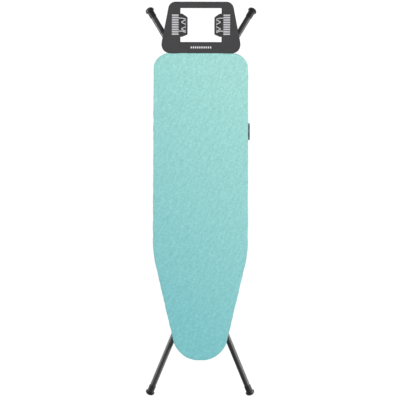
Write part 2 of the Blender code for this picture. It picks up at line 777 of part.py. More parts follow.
def build_spreader(name, half, station, legs):
    y = along(station)
    path = [Vector((-half, y, LEG_Z)), Vector((half, y, LEG_Z))]
    spreader = as_mesh(rod(name, path, SPREADER_R, BLACK_PAINT, 16))
    bore = rod(name + "_bore", [Vector((-half - 0.01, y, LEG_Z)), Vector((half + 0.01, y, LEG_Z))],
               SPREADER_R - LEG_WALL, None, 12, collection=cutters)
    cut(spreader, as_mesh(bore))
    for i, line in enumerate(legs):
        cope = as_mesh(rod(name + "_cope" + str(i), line, LEG_TUBE_R + GAP, None, 16, collection=cutters))
        cut(spreader, cope)
    return spreader


def build_cross_fasteners(side, sign, legs):
    # bolt, washer and nut that pin the outer leg to the inner leg
    y = along(CROSS_STATION)
    outer_face = NOSE_LEG_X + LEG_TUBE_R
    inner_face = TAIL_LEG_X - LEG_TUBE_R
    nose_leg, tail_leg = legs
    drill(nose_leg, (sign * 0.050, y, LEG_Z), (sign * 0.086, y, LEG_Z), 0.004 + GAP)
    drill(tail_leg, (sign * 0.024, y, LEG_Z), (sign * 0.060, y, LEG_Z), 0.004 + RUN)
    tip = inner_face - 0.0085 - outer_face
    profile = [(0, 0.0048), (0.003, 0.0045), (0.0060, 0.0030), (0.0068, GAP), (0.004, GAP), (0.004, tip),
               (0, tip)]
    bolt = turned("pivot_bolt_" + side, profile, (sign * outer_face, y, LEG_Z), (sign, 0, 0), ZINC, 24)
    start = TAIL_LEG_X + LEG_TUBE_R + GAP
    end = NOSE_LEG_X - LEG_TUBE_R - GAP
    washer = cylinder("pivot_washer_" + side, (sign * start, y, LEG_Z), (sign * end, y, LEG_Z), 0.009,
                      ZINC, 24)
    drill(washer, (sign * (start - 0.002), y, LEG_Z), (sign * (end + 0.002), y, LEG_Z), 0.004 + GAP)
    nut_start = inner_face - GAP
    nut = cylinder("pivot_nut_" + side, (sign * nut_start, y, LEG_Z), (sign * (nut_start - 0.0065), y, LEG_Z),
                   0.0075, ZINC, 6)
    drill(nut, (sign * (nut_start + 0.002), y, LEG_Z), (sign * (nut_start - 0.009), y, LEG_Z), 0.004 + GAP)
    return [bolt, washer, nut]


def build_frames(nose_pivot, cross_pivot):
    nose_pieces = []
    tail_pieces = []
    nose_lines = []
    tail_lines = []
    cap_gap = 0.006 + GAP
    nose_end = HINGE_STATION - 0.012
    tail_end = SLIDER_STATION + 0.010
    y_hinge = along(HINGE_STATION)
    for side, sign in SIDES:
        nose_line = leg_line(NOSE_LEG_X, NOSE_FOOT_STATION, nose_end, sign, cap_gap)
        tail_line = leg_line(TAIL_LEG_X, TAIL_FOOT_STATION, tail_end, sign, cap_gap)
        nose_lines.append(nose_line)
        tail_lines.append(tail_line)
        nose_leg = hollow_tube("nose_leg_" + side, nose_line, LEG_TUBE_R, LEG_WALL, BLACK_PAINT)
        tail_leg = hollow_tube("tail_leg_" + side, tail_line, LEG_TUBE_R, LEG_WALL, BLACK_PAINT)
        drill(nose_leg, (sign * 0.050, y_hinge, LEG_Z), (sign * 0.086, y_hinge, LEG_Z), 0.004 + RUN)
        y_axle = along(SLIDER_STATION)
        drill(tail_leg, (sign * 0.028, y_axle, LEG_Z), (sign * 0.056, y_axle, LEG_Z), AXLE_R + GAP)
        nose_pieces += [nose_leg, build_cap("nose_foot_" + side, sign, NOSE_LEG_X, NOSE_FOOT_STATION),
                        build_plug("nose_plug_" + side, sign * NOSE_LEG_X, nose_end, 1)]
        nose_pieces += build_cross_fasteners(side, sign, (nose_leg, tail_leg))
        tail_pieces += [tail_leg, build_cap("tail_foot_" + side, sign, TAIL_LEG_X, TAIL_FOOT_STATION),
                        build_plug("tail_plug_" + side, sign * TAIL_LEG_X, tail_end, -1)]
    half = leg_half_at(NOSE_LEG_X, NOSE_FOOT_STATION, NOSE_SPREADER_STATION)
    nose_pieces.append(build_spreader("nose_spreader", half, NOSE_SPREADER_STATION, nose_lines))
    for name, station in TAIL_SPREADER_STATIONS.items():
        half = leg_half_at(TAIL_LEG_X, TAIL_FOOT_STATION, station)
        tail_pieces.append(build_spreader(name, half, station, tail_lines))
    tail_pieces += build_slider()
    hang_on(nose_pivot, *nose_pieces)
    hang_on(cross_pivot, *tail_pieces)


def build_slider():
    # the axle that joins the inner legs and runs in the channel's slot, with its nylon roller
    y = along(SLIDER_STATION)
    reach = TAIL_LEG_X + LEG_TUBE_R - 0.0004
    axle = cylinder("slider_axle", (-reach, y, LEG_Z), (reach, y, LEG_Z), AXLE_R, ZINC, 24)
    half = CHANNEL_HALF_WIDTH - CHANNEL_WALL - 0.0005
    roller = cylinder("slider_roller", (-half, y, LEG_Z), (half, y, LEG_Z), 0.0085, BLACK_PLASTIC, 24)
    drill(roller, (-half - 0.002, y, LEG_Z), (half + 0.002, y, LEG_Z), AXLE_R + GAP)
    return [axle, roller]


def build_board():
    build_rim()
    build_deck()
    braces = {name: build_brace(name, station) for name, station in BRACES.items()}
    channel = build_channel()
    for name, brace in (("channel_rivet_tail", "brace_middle"), ("channel_rivet_nose", "brace_nose")):
        build_rivet(name, 0, BRACES[brace], CHANNEL_TOP - CHANNEL_WALL, braces[brace], channel)
    for side, sign in SIDES:
        build_hinge(side, sign, braces["brace_tail"])
        build_strap(side, sign, braces["brace_tail"])
        build_ear(side, sign)
        build_inlay(side, sign)
        build_truss(side, sign)
    build_rest()
    for name, station in CLIP_STATIONS.items():
        build_clip(name, station)
    rod("return_spring", spring_path(), 0.0007, SPRING_STEEL, 6)
    build_pad()
    build_cover()


build_board()
build_frames(pivot("nose_leg_pivot", 0, HINGE_STATION, LEG_Z), pivot("cross_pivot", 0, CROSS_STATION, LEG_Z))
build_lever(pivot("lever_pivot", LEVER_X, 0.5, LEVER_Z))

for piece in parts.objects:
    if piece.type == "MESH" and not piece.modifiers.get("spin"):
        piece.data.shade_smooth()
        piece.data.set_sharp_from_angle(angle=radians(35))
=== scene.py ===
# Folding ironing board, folded flat and face up: the looks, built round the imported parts.
# +Y is the tail with the iron rest, -Y the rounded nose, +Z up. Metres throughout.

import json
from math import cos, pi, radians, sin, sqrt, tan

import bmesh
import bpy
from mathutils import Matrix, Vector, noise
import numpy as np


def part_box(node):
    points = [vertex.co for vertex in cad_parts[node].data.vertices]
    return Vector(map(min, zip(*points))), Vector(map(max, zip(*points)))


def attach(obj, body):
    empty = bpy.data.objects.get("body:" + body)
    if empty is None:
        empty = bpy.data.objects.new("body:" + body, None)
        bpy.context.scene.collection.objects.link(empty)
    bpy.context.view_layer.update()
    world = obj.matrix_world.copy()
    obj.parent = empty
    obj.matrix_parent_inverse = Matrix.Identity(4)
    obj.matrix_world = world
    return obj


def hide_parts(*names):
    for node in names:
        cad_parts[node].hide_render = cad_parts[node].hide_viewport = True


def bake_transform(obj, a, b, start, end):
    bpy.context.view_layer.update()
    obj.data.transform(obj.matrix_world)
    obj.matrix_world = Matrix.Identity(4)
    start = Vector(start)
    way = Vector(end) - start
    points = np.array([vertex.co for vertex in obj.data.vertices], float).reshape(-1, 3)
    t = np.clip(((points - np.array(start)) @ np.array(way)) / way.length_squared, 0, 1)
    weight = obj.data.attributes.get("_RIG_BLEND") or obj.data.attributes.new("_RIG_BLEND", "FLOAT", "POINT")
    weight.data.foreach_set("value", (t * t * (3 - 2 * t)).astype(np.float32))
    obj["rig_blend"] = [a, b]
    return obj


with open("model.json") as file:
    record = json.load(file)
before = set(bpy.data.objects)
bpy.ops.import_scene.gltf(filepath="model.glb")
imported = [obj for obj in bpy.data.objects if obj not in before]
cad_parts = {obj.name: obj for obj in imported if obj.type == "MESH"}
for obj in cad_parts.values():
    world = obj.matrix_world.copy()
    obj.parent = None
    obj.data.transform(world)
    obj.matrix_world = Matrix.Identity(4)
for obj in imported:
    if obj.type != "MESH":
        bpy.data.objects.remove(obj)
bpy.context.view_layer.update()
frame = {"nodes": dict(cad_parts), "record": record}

scene = bpy.context.scene
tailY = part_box("cover")[1].y           # the cover's tail edge; stations are measured from it to the nose
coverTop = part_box("cover")[1].z
legZ = 0.0168                          # height of the leg tubes' middles
sides = (("left", -1), ("right", 1))


def along(station):
    return tailY - station


def finish(bm, name, body, material, nodes=(), sharp=35):
    # mesh from bmesh, smooth but for its sharp edges, riding on its body
    mesh = bpy.data.meshes.new(name)
    bm.to_mesh(mesh)
    bm.free()
    mesh.materials.append(material)
    mesh.shade_smooth()
    mesh.set_sharp_from_angle(angle=radians(sharp))
    piece = bpy.data.objects.new(name, mesh)
    scene.collection.objects.link(piece)
    if body:
        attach(piece, body)
    if nodes:
        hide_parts(*nodes)
    return piece


def bakeModifiers(piece):
    # applies what the modifiers make, so the mesh is final
    graph = bpy.context.evaluated_depsgraph_get()
    mesh = bpy.data.meshes.new_from_object(piece.evaluated_get(graph))
    old = piece.data
    piece.modifiers.clear()
    piece.data = mesh
    bpy.data.meshes.remove(old)
    mesh.name = piece.name


def solidCylinder(bm, start, end, radius, segments=24):
    start, end = Vector(start), Vector(end)
    heading = end - start
    turn = heading.to_track_quat("Z", "Y").to_matrix().to_4x4()
    middle = Matrix.Translation((start + end) / 2) @ turn
    return bmesh.ops.create_cone(bm, cap_ends=True, segments=segments, radius1=radius, radius2=radius,
                                 depth=heading.length, matrix=middle)["verts"]


def solidBox(bm, low, high):
    low, high = Vector(low), Vector(high)
    size = high - low
    place = Matrix.Translation((low + high) / 2) @ Matrix.Diagonal((*size, 1))
    return bmesh.ops.create_cube(bm, size=1, matrix=place)["verts"]


def edgesOf(verts):
    return list({edge for vert in verts for edge in vert.link_edges})


def vertsIn(geom):
    return [g for g in geom if isinstance(g, bmesh.types.BMVert)]


def edgesIn(geom):
    return [g for g in geom if isinstance(g, bmesh.types.BMEdge)]


def rise(edge, axis=2):
    # how far an edge's ends are apart along one axis
    return abs(edge.verts[0].co[axis] - edge.verts[1].co[axis])


def roundEdges(bm, edges, width, segments=2):
    bmesh.ops.bevel(bm, geom=edges, offset=width, offset_type="OFFSET", segments=segments, profile=0.5,
                    affect="EDGES", clamp_overlap=True, material=-1)


def sharpEdges(bm, angle=30):
    return [edge for edge in bm.edges if len(edge.link_faces) == 2
            and edge.calc_face_angle(0) > radians(angle)]


def spinProfile(bm, profile, origin, heading, steps=48):
    # turns (radius, height) points once round the heading
    up = Vector(heading).normalized()
    out = up.orthogonal().normalized()
    verts = [bm.verts.new(Vector(origin) + out * r + up * h) for r, h in profile]
    edges = [bm.edges.new(pair) for pair in zip(verts, verts[1:])]
    bmesh.ops.spin(bm, geom=verts + edges, cent=Vector(origin), axis=up, angle=2 * pi, steps=steps,
                   use_merge=True)
    bmesh.ops.remove_doubles(bm, verts=bm.verts, dist=1e-6)
    bmesh.ops.recalc_face_normals(bm, faces=bm.faces)


def sweepTube(bm, points, radius, bendRadius, segments=20, bendSteps=10):
    # a round bar along straight runs, with true bends between them
    points = [Vector(p) for p in points]
    heading = (points[1] - points[0]).normalized()
    turn = heading.to_track_quat("Z", "Y").to_matrix().to_4x4()
    ring = bmesh.ops.create_circle(bm, segments=segments, radius=radius,
                                   matrix=Matrix.Translation(points[0]) @ turn)["verts"]
    first = list(ring)
    ring = edgesOf(ring)
    bmesh.ops.contextual_create(bm, geom=first)
    here = points[0]
    for i in range(1, len(points)):
        last = i == len(points) - 1
        if not last:
            onward = (points[i + 1] - points[i]).normalized()
            angle = heading.angle(onward)
            stop = points[i] - heading * (bendRadius * tan(angle / 2))
        else:
            stop = points[i]
        grown = bmesh.ops.extrude_edge_only(bm, edges=ring)["geom"]
        bmesh.ops.translate(bm, verts=vertsIn(grown), vec=stop - here)
        ring = edgesIn(grown)
        here = stop
        if not last and angle > 1e-4:
            axis = heading.cross(onward).normalized()
            centre = stop + axis.cross(heading) * bendRadius
            ringVerts = list({v for edge in ring for v in edge.verts})
            spun = bmesh.ops.spin(bm, geom=ringVerts + ring, cent=centre, axis=axis, angle=angle,
                                  steps=bendSteps)["geom_last"]
            ring = edgesIn(spun)
            here = centre + Matrix.Rotation(angle, 3, axis) @ (stop - centre)
            heading = onward
    bmesh.ops.contextual_create(bm, geom=list({v for edge in ring for v in edge.verts}))
    bmesh.ops.recalc_face_normals(bm, faces=bm.faces)


def packedCopy(node):
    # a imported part's mesh with its flat faces whole
    bm = bmesh.new()
    bm.from_mesh(frame["nodes"][node].data)
    bmesh.ops.remove_doubles(bm, verts=bm.verts, dist=2e-6)
    bmesh.ops.dissolve_limit(bm, angle_limit=radians(1), verts=bm.verts, edges=bm.edges)
    return bm


def softCopy(node, name, body, material, width, segments=2):
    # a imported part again, with its hard edges rounded
    bm = packedCopy(node)
    roundEdges(bm, sharpEdges(bm, 40), width, segments)
    return finish(bm, name, body, material, [node])


def addNode(tree, kind, settings=None, **inputs):
    made = tree.nodes.new(kind)
    for key, value in (settings or {}).items():
        setattr(made, key, value)
    for key, value in inputs.items():
        made.inputs[key.replace("_", " ")].default_value = value
    return made


def maths(tree, operation, a, b=None):
    made = tree.nodes.new("ShaderNodeMath")
    made.operation = operation
    for i, value in enumerate((a, b)):
        if value is None:
            continue
        if isinstance(value, (int, float)):
            made.inputs[i].default_value = value
        else:
            tree.links.new(value, made.inputs[i])
    return made.outputs[0]


def blendColours(tree, factor, a, b, kind="MIX"):
    made = tree.nodes.new("ShaderNodeMix")
    made.data_type = "RGBA"
    made.blend_type = kind
    for socket, value in ((made.inputs[0], factor), (made.inputs[6], a), (made.inputs[7], b)):
        if isinstance(value, (int, float)):
            socket.default_value = value
        elif isinstance(value, tuple):
            socket.default_value = (*value, 1)
        else:
            tree.links.new(value, socket)
    return made.outputs[2]


def ramp(tree, value, low, high):
    made = addNode(tree, "ShaderNodeMapRange", {"interpolation_type": "SMOOTHSTEP"},
                   From_Min=low, From_Max=high)
    tree.links.new(value, made.inputs[0])
    return made.outputs[0]


def linear(tree, value, low, high):
    made = addNode(tree, "ShaderNodeMapRange", From_Min=low, From_Max=high)
    tree.links.new(value, made.inputs[0])
    return made.outputs[0]


def stretched(tree, vector, scale, turn=0.0):
    # turned about z first, then scaled, so that a pattern can run slantwise
    made = addNode(tree, "ShaderNodeMapping", {"vector_type": "TEXTURE"}, Rotation=(0, 0, turn),
                   Scale=tuple(1 / step for step in scale))
    tree.links.new(vector, made.inputs["Vector"])
    return made.outputs[0]


def noiseAt(tree, vector, scale, detail=2.0, rough=0.5):
    made = addNode(tree, "ShaderNodeTexNoise", Scale=scale, Detail=detail, Roughness=rough)
    tree.links.new(vector, made.inputs["Vector"])
    return made.outputs[0]


def newGroup(name, inputs, outputs):
    group = bpy.data.node_groups.new(name, "ShaderNodeTree")
    for label, kind, value in inputs:
        socket = group.interface.new_socket(name=label, in_out="INPUT", socket_type=kind)
        if value is not None:
            socket.default_value = value
    for label, kind in outputs:
        group.interface.new_socket(name=label, in_out="OUTPUT", socket_type=kind)
    return group, group.nodes.new("NodeGroupInput").outputs, group.nodes.new("NodeGroupOutput").inputs


def makeWeaveGroup():
    # plain weave: over and under threads, with thick and thin yarn and a flecked dye
    group, given, out = newGroup("plainWeave",
                                 [("Vector", "NodeSocketVector", None),
                                  ("Threads", "NodeSocketFloat", 900.0)],
                                 [("Height", "NodeSocketFloat"), ("Slub", "NodeSocketFloat"),
                                  ("Fleck", "NodeSocketFloat"), ("Streak", "NodeSocketFloat")])
    scaled = addNode(group, "ShaderNodeVectorMath", {"operation": "SCALE"})
    group.links.new(given["Vector"], scaled.inputs[0])
    group.links.new(given["Threads"], scaled.inputs["Scale"])
    split = group.nodes.new("ShaderNodeSeparateXYZ")
    group.links.new(scaled.outputs[0], split.inputs[0])
    warp = maths(group, "ABSOLUTE", maths(group, "SINE", maths(group, "MULTIPLY", split.outputs[0], pi)))
    weft = maths(group, "ABSOLUTE", maths(group, "SINE", maths(group, "MULTIPLY", split.outputs[1], pi)))
    turnover = maths(group, "ADD", maths(group, "FLOOR", split.outputs[0]),
                     maths(group, "FLOOR", split.outputs[1]))
    odd = maths(group, "PINGPONG", turnover, 1.0)
    over = maths(group, "MULTIPLY", warp, odd)
    under = maths(group, "MULTIPLY", weft, maths(group, "SUBTRACT", 1.0, odd))
    group.links.new(maths(group, "ADD", over, under), out["Height"])
    warpYarn = noiseAt(group, stretched(group, given["Vector"], (950, 32, 1)), 1.0, 1.0)
    weftYarn = noiseAt(group, stretched(group, given["Vector"], (32, 950, 1)), 1.0, 1.0)
    group.links.new(maths(group, "MULTIPLY", maths(group, "ADD", warpYarn, weftYarn), 0.5), out["Slub"])
    slant = noiseAt(group, stretched(group, given["Vector"], (330, 70, 1), radians(32)), 1.0, 2.0)
    cross = noiseAt(group, stretched(group, given["Vector"], (60, 420, 1), radians(4)), 1.0, 2.0)
    group.links.new(maths(group, "MULTIPLY", maths(group, "ADD", slant, cross), 0.5), out["Fleck"])
    bias = noiseAt(group, stretched(group, given["Vector"], (150, 28, 1), radians(-30)), 1.0, 1.0)
    group.links.new(bias, out["Streak"])
    return group


def makeGrainGroup():
    # the fine spark-eroded grain of a plastic moulding
    group, given, out = newGroup("mouldGrain",
                                 [("Vector", "NodeSocketVector", None), ("Grain", "NodeSocketFloat", 900.0)],
                                 [("Height", "NodeSocketFloat"), ("Tone", "NodeSocketFloat")])
    cells = addNode(group, "ShaderNodeTexVoronoi", {"feature": "SMOOTH_F1"}, Smoothness=0.6)
    group.links.new(given["Vector"], cells.inputs["Vector"])
    group.links.new(given["Grain"], cells.inputs["Scale"])
    cloud = noiseAt(group, given["Vector"], 14.0, 3.0, 0.55)
    fine = noiseAt(group, given["Vector"], 2600.0, 1.0)
    group.links.new(maths(group, "ADD", cells.outputs["Distance"], maths(group, "MULTIPLY", fine, 0.4)),
                    out["Height"])
    group.links.new(cloud, out["Tone"])
    return group


def makeRubGroup():
    # where hands and floors have rubbed: near edges, broken up by noise
    group, given, out = newGroup("edgeRub",
                                 [("Vector", "NodeSocketVector", None), ("Reach", "NodeSocketFloat", 0.0012),
                                  ("Break", "NodeSocketFloat", 60.0)],
                                 [("Mask", "NodeSocketFloat"), ("Scuff", "NodeSocketFloat")])
    rounded = addNode(group, "ShaderNodeBevel", {"samples": 4})
    group.links.new(given["Reach"], rounded.inputs["Radius"])
    facing = group.nodes.new("ShaderNodeNewGeometry")
    dot = addNode(group, "ShaderNodeVectorMath", {"operation": "DOT_PRODUCT"})
    group.links.new(rounded.outputs[0], dot.inputs[0])
    group.links.new(facing.outputs["Normal"], dot.inputs[1])
    edge = ramp(group, maths(group, "SUBTRACT", 1.0, dot.outputs["Value"]), 0.01, 0.16)
    patch = addNode(group, "ShaderNodeTexNoise", Detail=3.0, Roughness=0.6)
    group.links.new(given["Vector"], patch.inputs["Vector"])
    group.links.new(given["Break"], patch.inputs["Scale"])
    group.links.new(maths(group, "MULTIPLY", edge, ramp(group, patch.outputs[0], 0.42, 0.62)), out["Mask"])
    streak = noiseAt(group, stretched(group, given["Vector"], (700, 60, 700)), 1.0, 2.0, 0.6)
    group.links.new(ramp(group, streak, 0.60, 0.74), out["Scuff"])
    return group


weaveGroup = makeWeaveGroup()
grainGroup = makeGrainGroup()
rubGroup = makeRubGroup()


def placeGroup(tree, group, vector, **values):
    made = tree.nodes.new("ShaderNodeGroup")
    made.node_tree = group
    tree.links.new(vector, made.inputs["Vector"])
    for key, value in values.items():
        made.inputs[key].default_value = value
    return made.outputs


def startMaterial(name, colour, roughness, uv=None, **constants):
    # a Principled material and the coordinates its pattern reads
    material = bpy.data.materials.new(name)
    material.use_nodes = True
    tree = material.node_tree
    shader = tree.nodes["Principled BSDF"]
    shader.inputs["Base Color"].default_value = (*colour, 1)
    shader.inputs["Roughness"].default_value = roughness
    for key, value in constants.items():
        shader.inputs[key.replace("_", " ")].default_value = value
    if uv:
        vector = addNode(tree, "ShaderNodeUVMap", {"uv_map": uv}).outputs[0]
    else:
        vector = tree.nodes.new("ShaderNodeTexCoord").outputs["Object"]
    return material, tree, shader.inputs, vector


def relief(tree, shader, height, distance, strength=1.0, under=None):
    bump = addNode(tree, "ShaderNodeBump", Distance=distance, Strength=strength)
    tree.links.new(height, bump.inputs["Height"])
    if under:
        tree.links.new(under, bump.inputs["Normal"])
    tree.links.new(bump.outputs[0], shader["Normal"])
    return bump.outputs[0]


def cottonMaterial():
    # flecked turquoise yarn, with painted light: paler towards the tail and the right side, darker towards
    # the nose and the left
    look = {"tailLitTone": (0.321, 0.612, 0.570), "noseShadedTone": (0.177, 0.458, 0.480), "fleck": 0.08,
            "streak": 0.035, "threads": 1100.0}
    material, tree, shader, vector = startMaterial("turquoiseCotton", look["tailLitTone"], 0.86, "cut",
                                                   Specular_IOR_Level=0.08)
    split = tree.nodes.new("ShaderNodeSeparateXYZ")
    tree.links.new(vector, split.inputs[0])
    # painted light: a tone ramp along and across the board, lit tone at the tail and right, shaded tone at
    # the nose and left
    paintedLightRamp = maths(tree, "ADD", split.outputs[1], maths(tree, "MULTIPLY", split.outputs[0], 0.9))
    dyeWithPaintedLight = blendColours(tree, linear(tree, paintedLightRamp, -0.56, 0.60), look["noseShadedTone"], look["tailLitTone"])
    weave = placeGroup(tree, weaveGroup, vector, Threads=look["threads"])
    low, high = 1 - look["fleck"], 1 + look["fleck"]
    flecks = blendColours(tree, ramp(tree, weave["Fleck"], 0.38, 0.64), (low * 0.94, low, low),
                          (high * 1.05, high, high))
    faint, strong = 1 - look["streak"], 1 + look["streak"]
    streaks = blendColours(tree, ramp(tree, weave["Streak"], 0.36, 0.64), (faint, faint, faint),
                           (strong, strong, strong))
    flecked = blendColours(tree, 1.0, blendColours(tree, 1.0, dyeWithPaintedLight, flecks, "MULTIPLY"), streaks, "MULTIPLY")
    yarn = blendColours(tree, ramp(tree, weave["Slub"], 0.35, 0.70), (0.93, 0.93, 0.93), (1.06, 1.06, 1.06))
    toned = blendColours(tree, 1.0, flecked, yarn, "MULTIPLY")
    # painted shade: darker where the weave sits low, in the gaps between the threads
    threadGapShade = blendColours(tree, ramp(tree, weave["Height"], 0.0, 0.55), (0.80, 0.80, 0.80), (1.04, 1.04, 1.04))
    tree.links.new(blendColours(tree, 1.0, toned, threadGapShade, "MULTIPLY"), shader["Base Color"])
    tree.links.new(maths(tree, "ADD", 0.76, maths(tree, "MULTIPLY", weave["Slub"], 0.2)), shader["Roughness"])
    creases = noiseAt(tree, stretched(tree, vector, (9, 5, 1)), 1.0, 3.0, 0.45)
    soft = relief(tree, shader, creases, 0.004, 0.35)
    relief(tree, shader, weave["Height"], 0.00025, 0.6, soft)
    return material


def foamMaterial():
    material, tree, shader, vector = startMaterial("creamFoam", (0.80, 0.77, 0.68), 0.95)
    pores = addNode(tree, "ShaderNodeTexVoronoi", {"feature": "F1"}, Scale=900.0)
    tree.links.new(vector, pores.inputs["Vector"])
    # painted shade: the foam is darker inside its pores; the same mask drives the pore bump
    poreDepthAndShade = ramp(tree, pores.outputs["Distance"], 0.1, 0.5)
    tree.links.new(blendColours(tree, poreDepthAndShade, (0.50, 0.46, 0.38), (0.82, 0.79, 0.70)), shader["Base Color"])
    relief(tree, shader, poreDepthAndShade, 0.0006, 0.7)
    return material


def braidMaterial():
    material, tree, shader, vector = startMaterial("whiteElastic", (0.80, 0.80, 0.77), 0.8)
    twist = addNode(tree, "ShaderNodeTexWave", {"bands_direction": "DIAGONAL"}, Scale=160.0, Distortion=0.6)
    tree.links.new(vector, twist.inputs["Vector"])
    tree.links.new(blendColours(tree, twist.outputs[1], (0.60, 0.60, 0.57), (0.84, 0.84, 0.81)),
                   shader["Base Color"])
    relief(tree, shader, twist.outputs[1], 0.0005, 0.7)
    return material


def coatMaterial(name, colour, worn, roughness):
    # powder coat over steel: orange peel, scuffs along it, a paler tone where edges rub
    material, tree, shader, vector = startMaterial(name, colour, roughness)
    rub = placeGroup(tree, rubGroup, vector)
    cloud = noiseAt(tree, vector, 9.0, 3.0)
    tint = blendColours(tree, cloud, tuple(c * 0.85 for c in colour), tuple(c * 1.2 for c in colour))
    scuffed = blendColours(tree, maths(tree, "MULTIPLY", rub["Scuff"], 0.25), tint, worn)
    tree.links.new(blendColours(tree, maths(tree, "MULTIPLY", rub["Mask"], 0.7), scuffed, worn),
                   shader["Base Color"])
    rough = maths(tree, "ADD", roughness - 0.06, maths(tree, "MULTIPLY", cloud, 0.12))
    scuff = maths(tree, "MULTIPLY", rub["Scuff"], 0.12)
    tree.links.new(maths(tree, "ADD", rough, scuff), shader["Roughness"])
    relief(tree, shader, noiseAt(tree, vector, 520.0, 1.0), 0.00018, 0.35)
    return material


def metalMaterial(name, colour, roughness):
    # bright plated steel: faint drawing lines, dull spots
    material, tree, shader, vector = startMaterial(name, colour, roughness, Metallic=1.0)
    lines = noiseAt(tree, stretched(tree, vector, (40, 900, 900)), 1.0, 2.0)
    spots = ramp(tree, noiseAt(tree, vector, 190.0, 3.0), 0.50, 0.68)
    tree.links.new(blendColours(tree, spots, colour, tuple(c * 0.6 for c in colour)), shader["Base Color"])
    tree.links.new(maths(tree, "ADD", maths(tree, "MULTIPLY", lines, 0.22),
                         maths(tree, "ADD", roughness - 0.1, maths(tree, "MULTIPLY", spots, 0.2))),
                   shader["Roughness"])
    relief(tree, shader, lines, 0.00004, 0.5)
    return material


def mouldedMaterial(name, colour, pale, roughness, grain=900.0, depth=0.00012, grooveShade=None, **constants):
    # moulded plastic: eroded grain, slow changes of tone, whitened edges and fine scratches
    # the last argument gives (height, colour) for painted shade below a height, as in the grooves between
    # ribs
    material, tree, shader, vector = startMaterial(name, colour, roughness, **constants)
    skin = placeGroup(tree, grainGroup, vector, Grain=grain)
    rub = placeGroup(tree, rubGroup, vector, Reach=0.0009, Break=45.0)
    tone = blendColours(tree, skin["Tone"], tuple(c * 0.88 for c in colour), tuple(c * 1.14 for c in colour))
    scratched = blendColours(tree, maths(tree, "MULTIPLY", rub["Scuff"], 0.18), tone, pale)
    shown = blendColours(tree, maths(tree, "MULTIPLY", rub["Mask"], 0.35), scratched, pale)
    if grooveShade:
        # painted shade: colour darkens below the given height, in the grooves between the inlay's ribs
        split = tree.nodes.new("ShaderNodeSeparateXYZ")
        tree.links.new(vector, split.inputs[0])
        grooveShadeMask = linear(tree, split.outputs[2], grooveShade[0], grooveShade[0] - 0.0005)
        shown = blendColours(tree, grooveShadeMask, shown, grooveShade[1])
    tree.links.new(shown, shader["Base Color"])
    tree.links.new(maths(tree, "ADD", roughness - 0.07, maths(tree, "MULTIPLY", skin["Tone"], 0.14)),
                   shader["Roughness"])
    relief(tree, shader, skin["Height"], depth, 0.55)
    return material


cotton = cottonMaterial()
foam = foamMaterial()
braid = braidMaterial()
blackCoat = coatMaterial("satinBlackCoat", (0.006, 0.0065, 0.0065), (0.10, 0.10, 0.10), 0.33)
greyCoat = coatMaterial("greyCoat", (0.30, 0.31, 0.32), (0.48, 0.48, 0.48), 0.5)
zinc = metalMaterial("zincPlate", (0.62, 0.62, 0.63), 0.34)
springSteel = metalMaterial("springWire", (0.42, 0.42, 0.44), 0.3)
charcoal = mouldedMaterial("charcoalMoulding", (0.038, 0.038, 0.040), (0.17, 0.17, 0.18), 0.62,
                           Specular_IOR_Level=0.22)
earBlack = mouldedMaterial("blackMoulding", (0.020, 0.020, 0.022), (0.09, 0.09, 0.09), 0.5)
capBlack = mouldedMaterial("capRubber", (0.0045, 0.0045, 0.005), (0.05, 0.05, 0.05), 0.42, 1400.0, 0.00006,
                           Specular_IOR_Level=0.3)
gripBlack = mouldedMaterial("gripMoulding", (0.006, 0.008, 0.018), (0.05, 0.05, 0.07), 0.45, 1500.0, 0.0001)
# the grey inlays get painted shade in the grooves between their ribs
silicone = mouldedMaterial("greySilicone", (0.47, 0.47, 0.49), (0.62, 0.62, 0.63), 0.62, 1600.0, 0.00005,
                           grooveShade=(0.0613, (0.135, 0.135, 0.14)))
ink = mouldedMaterial("paleInk", (0.62, 0.62, 0.64), (0.45, 0.45, 0.46), 0.6, 1900.0, 0.00003)
print("materials made")


cover = {
    "halfWidth": 0.177, "length": 1.150, "tailCorner": 0.060, "taperStart": 0.750, "taperSlope": 0.235,
    "taperBlend": 0.500, "noseRadius": 0.10158, "noseMiddle": (0.00249, 1.04842),
    "flatInset": 0.014,                # the top is flat inside this
    "columns": 26, "step": 0.0085,
    # the hem is gathered past this part of the edge, rising and pulled outwards in folds
    "gatherFrom": 0.6, "gatherRise": 0.0013, "gatherPull": 0.0008,
    # (in from the outline, height) from the top's edge, round the rim and under to the hem
    "edge": [(0.0100, 0.0634), (0.0068, 0.0628), (0.0042, 0.0617), (0.0020, 0.0600), (0.0007, 0.0578),
             (0.0001, 0.0550), (0.0000, 0.0510), (0.0003, 0.0470), (0.0011, 0.0428), (0.0030, 0.0392),
             (0.0062, 0.0366), (0.0105, 0.0355), (0.0150, 0.0353), (0.0195, 0.0354), (0.0240, 0.0357),
             (0.0285, 0.0360), (0.0325, 0.0360), (0.0358, 0.0357)],
    "thickness": 0.0010,
}
taperTurn = pi / 2 - radians(76.775)


def outlineHalf(station, inset=0.0):
    # half the board's width at a station, for the outline moved in by inset
    half, corner, blend = cover["halfWidth"], cover["tailCorner"], cover["taperBlend"]
    blendStart = cover["taperStart"] - blend * tan(taperTurn / 2)
    blendEnd = blendStart + (blend - inset) * sin(taperTurn)
    noseX, noseStation = cover["noseMiddle"]
    noseStart = noseStation + (cover["noseRadius"] - inset) * sin(taperTurn)
    if station < corner:
        return half - corner + sqrt(max(0, (corner - inset) ** 2 - (corner - station) ** 2))
    if station < blendStart:
        return half - inset
    if station < blendEnd:
        return half - blend + sqrt((blend - inset) ** 2 - (station - blendStart) ** 2)
    if station < noseStart:
        slope = cover["taperSlope"]
        return half - slope * (station - cover["taperStart"]) - inset * sqrt(1 + slope ** 2)
    return noseX + sqrt(max(0, (cover["noseRadius"] - inset) ** 2 - (station - noseStation) ** 2))


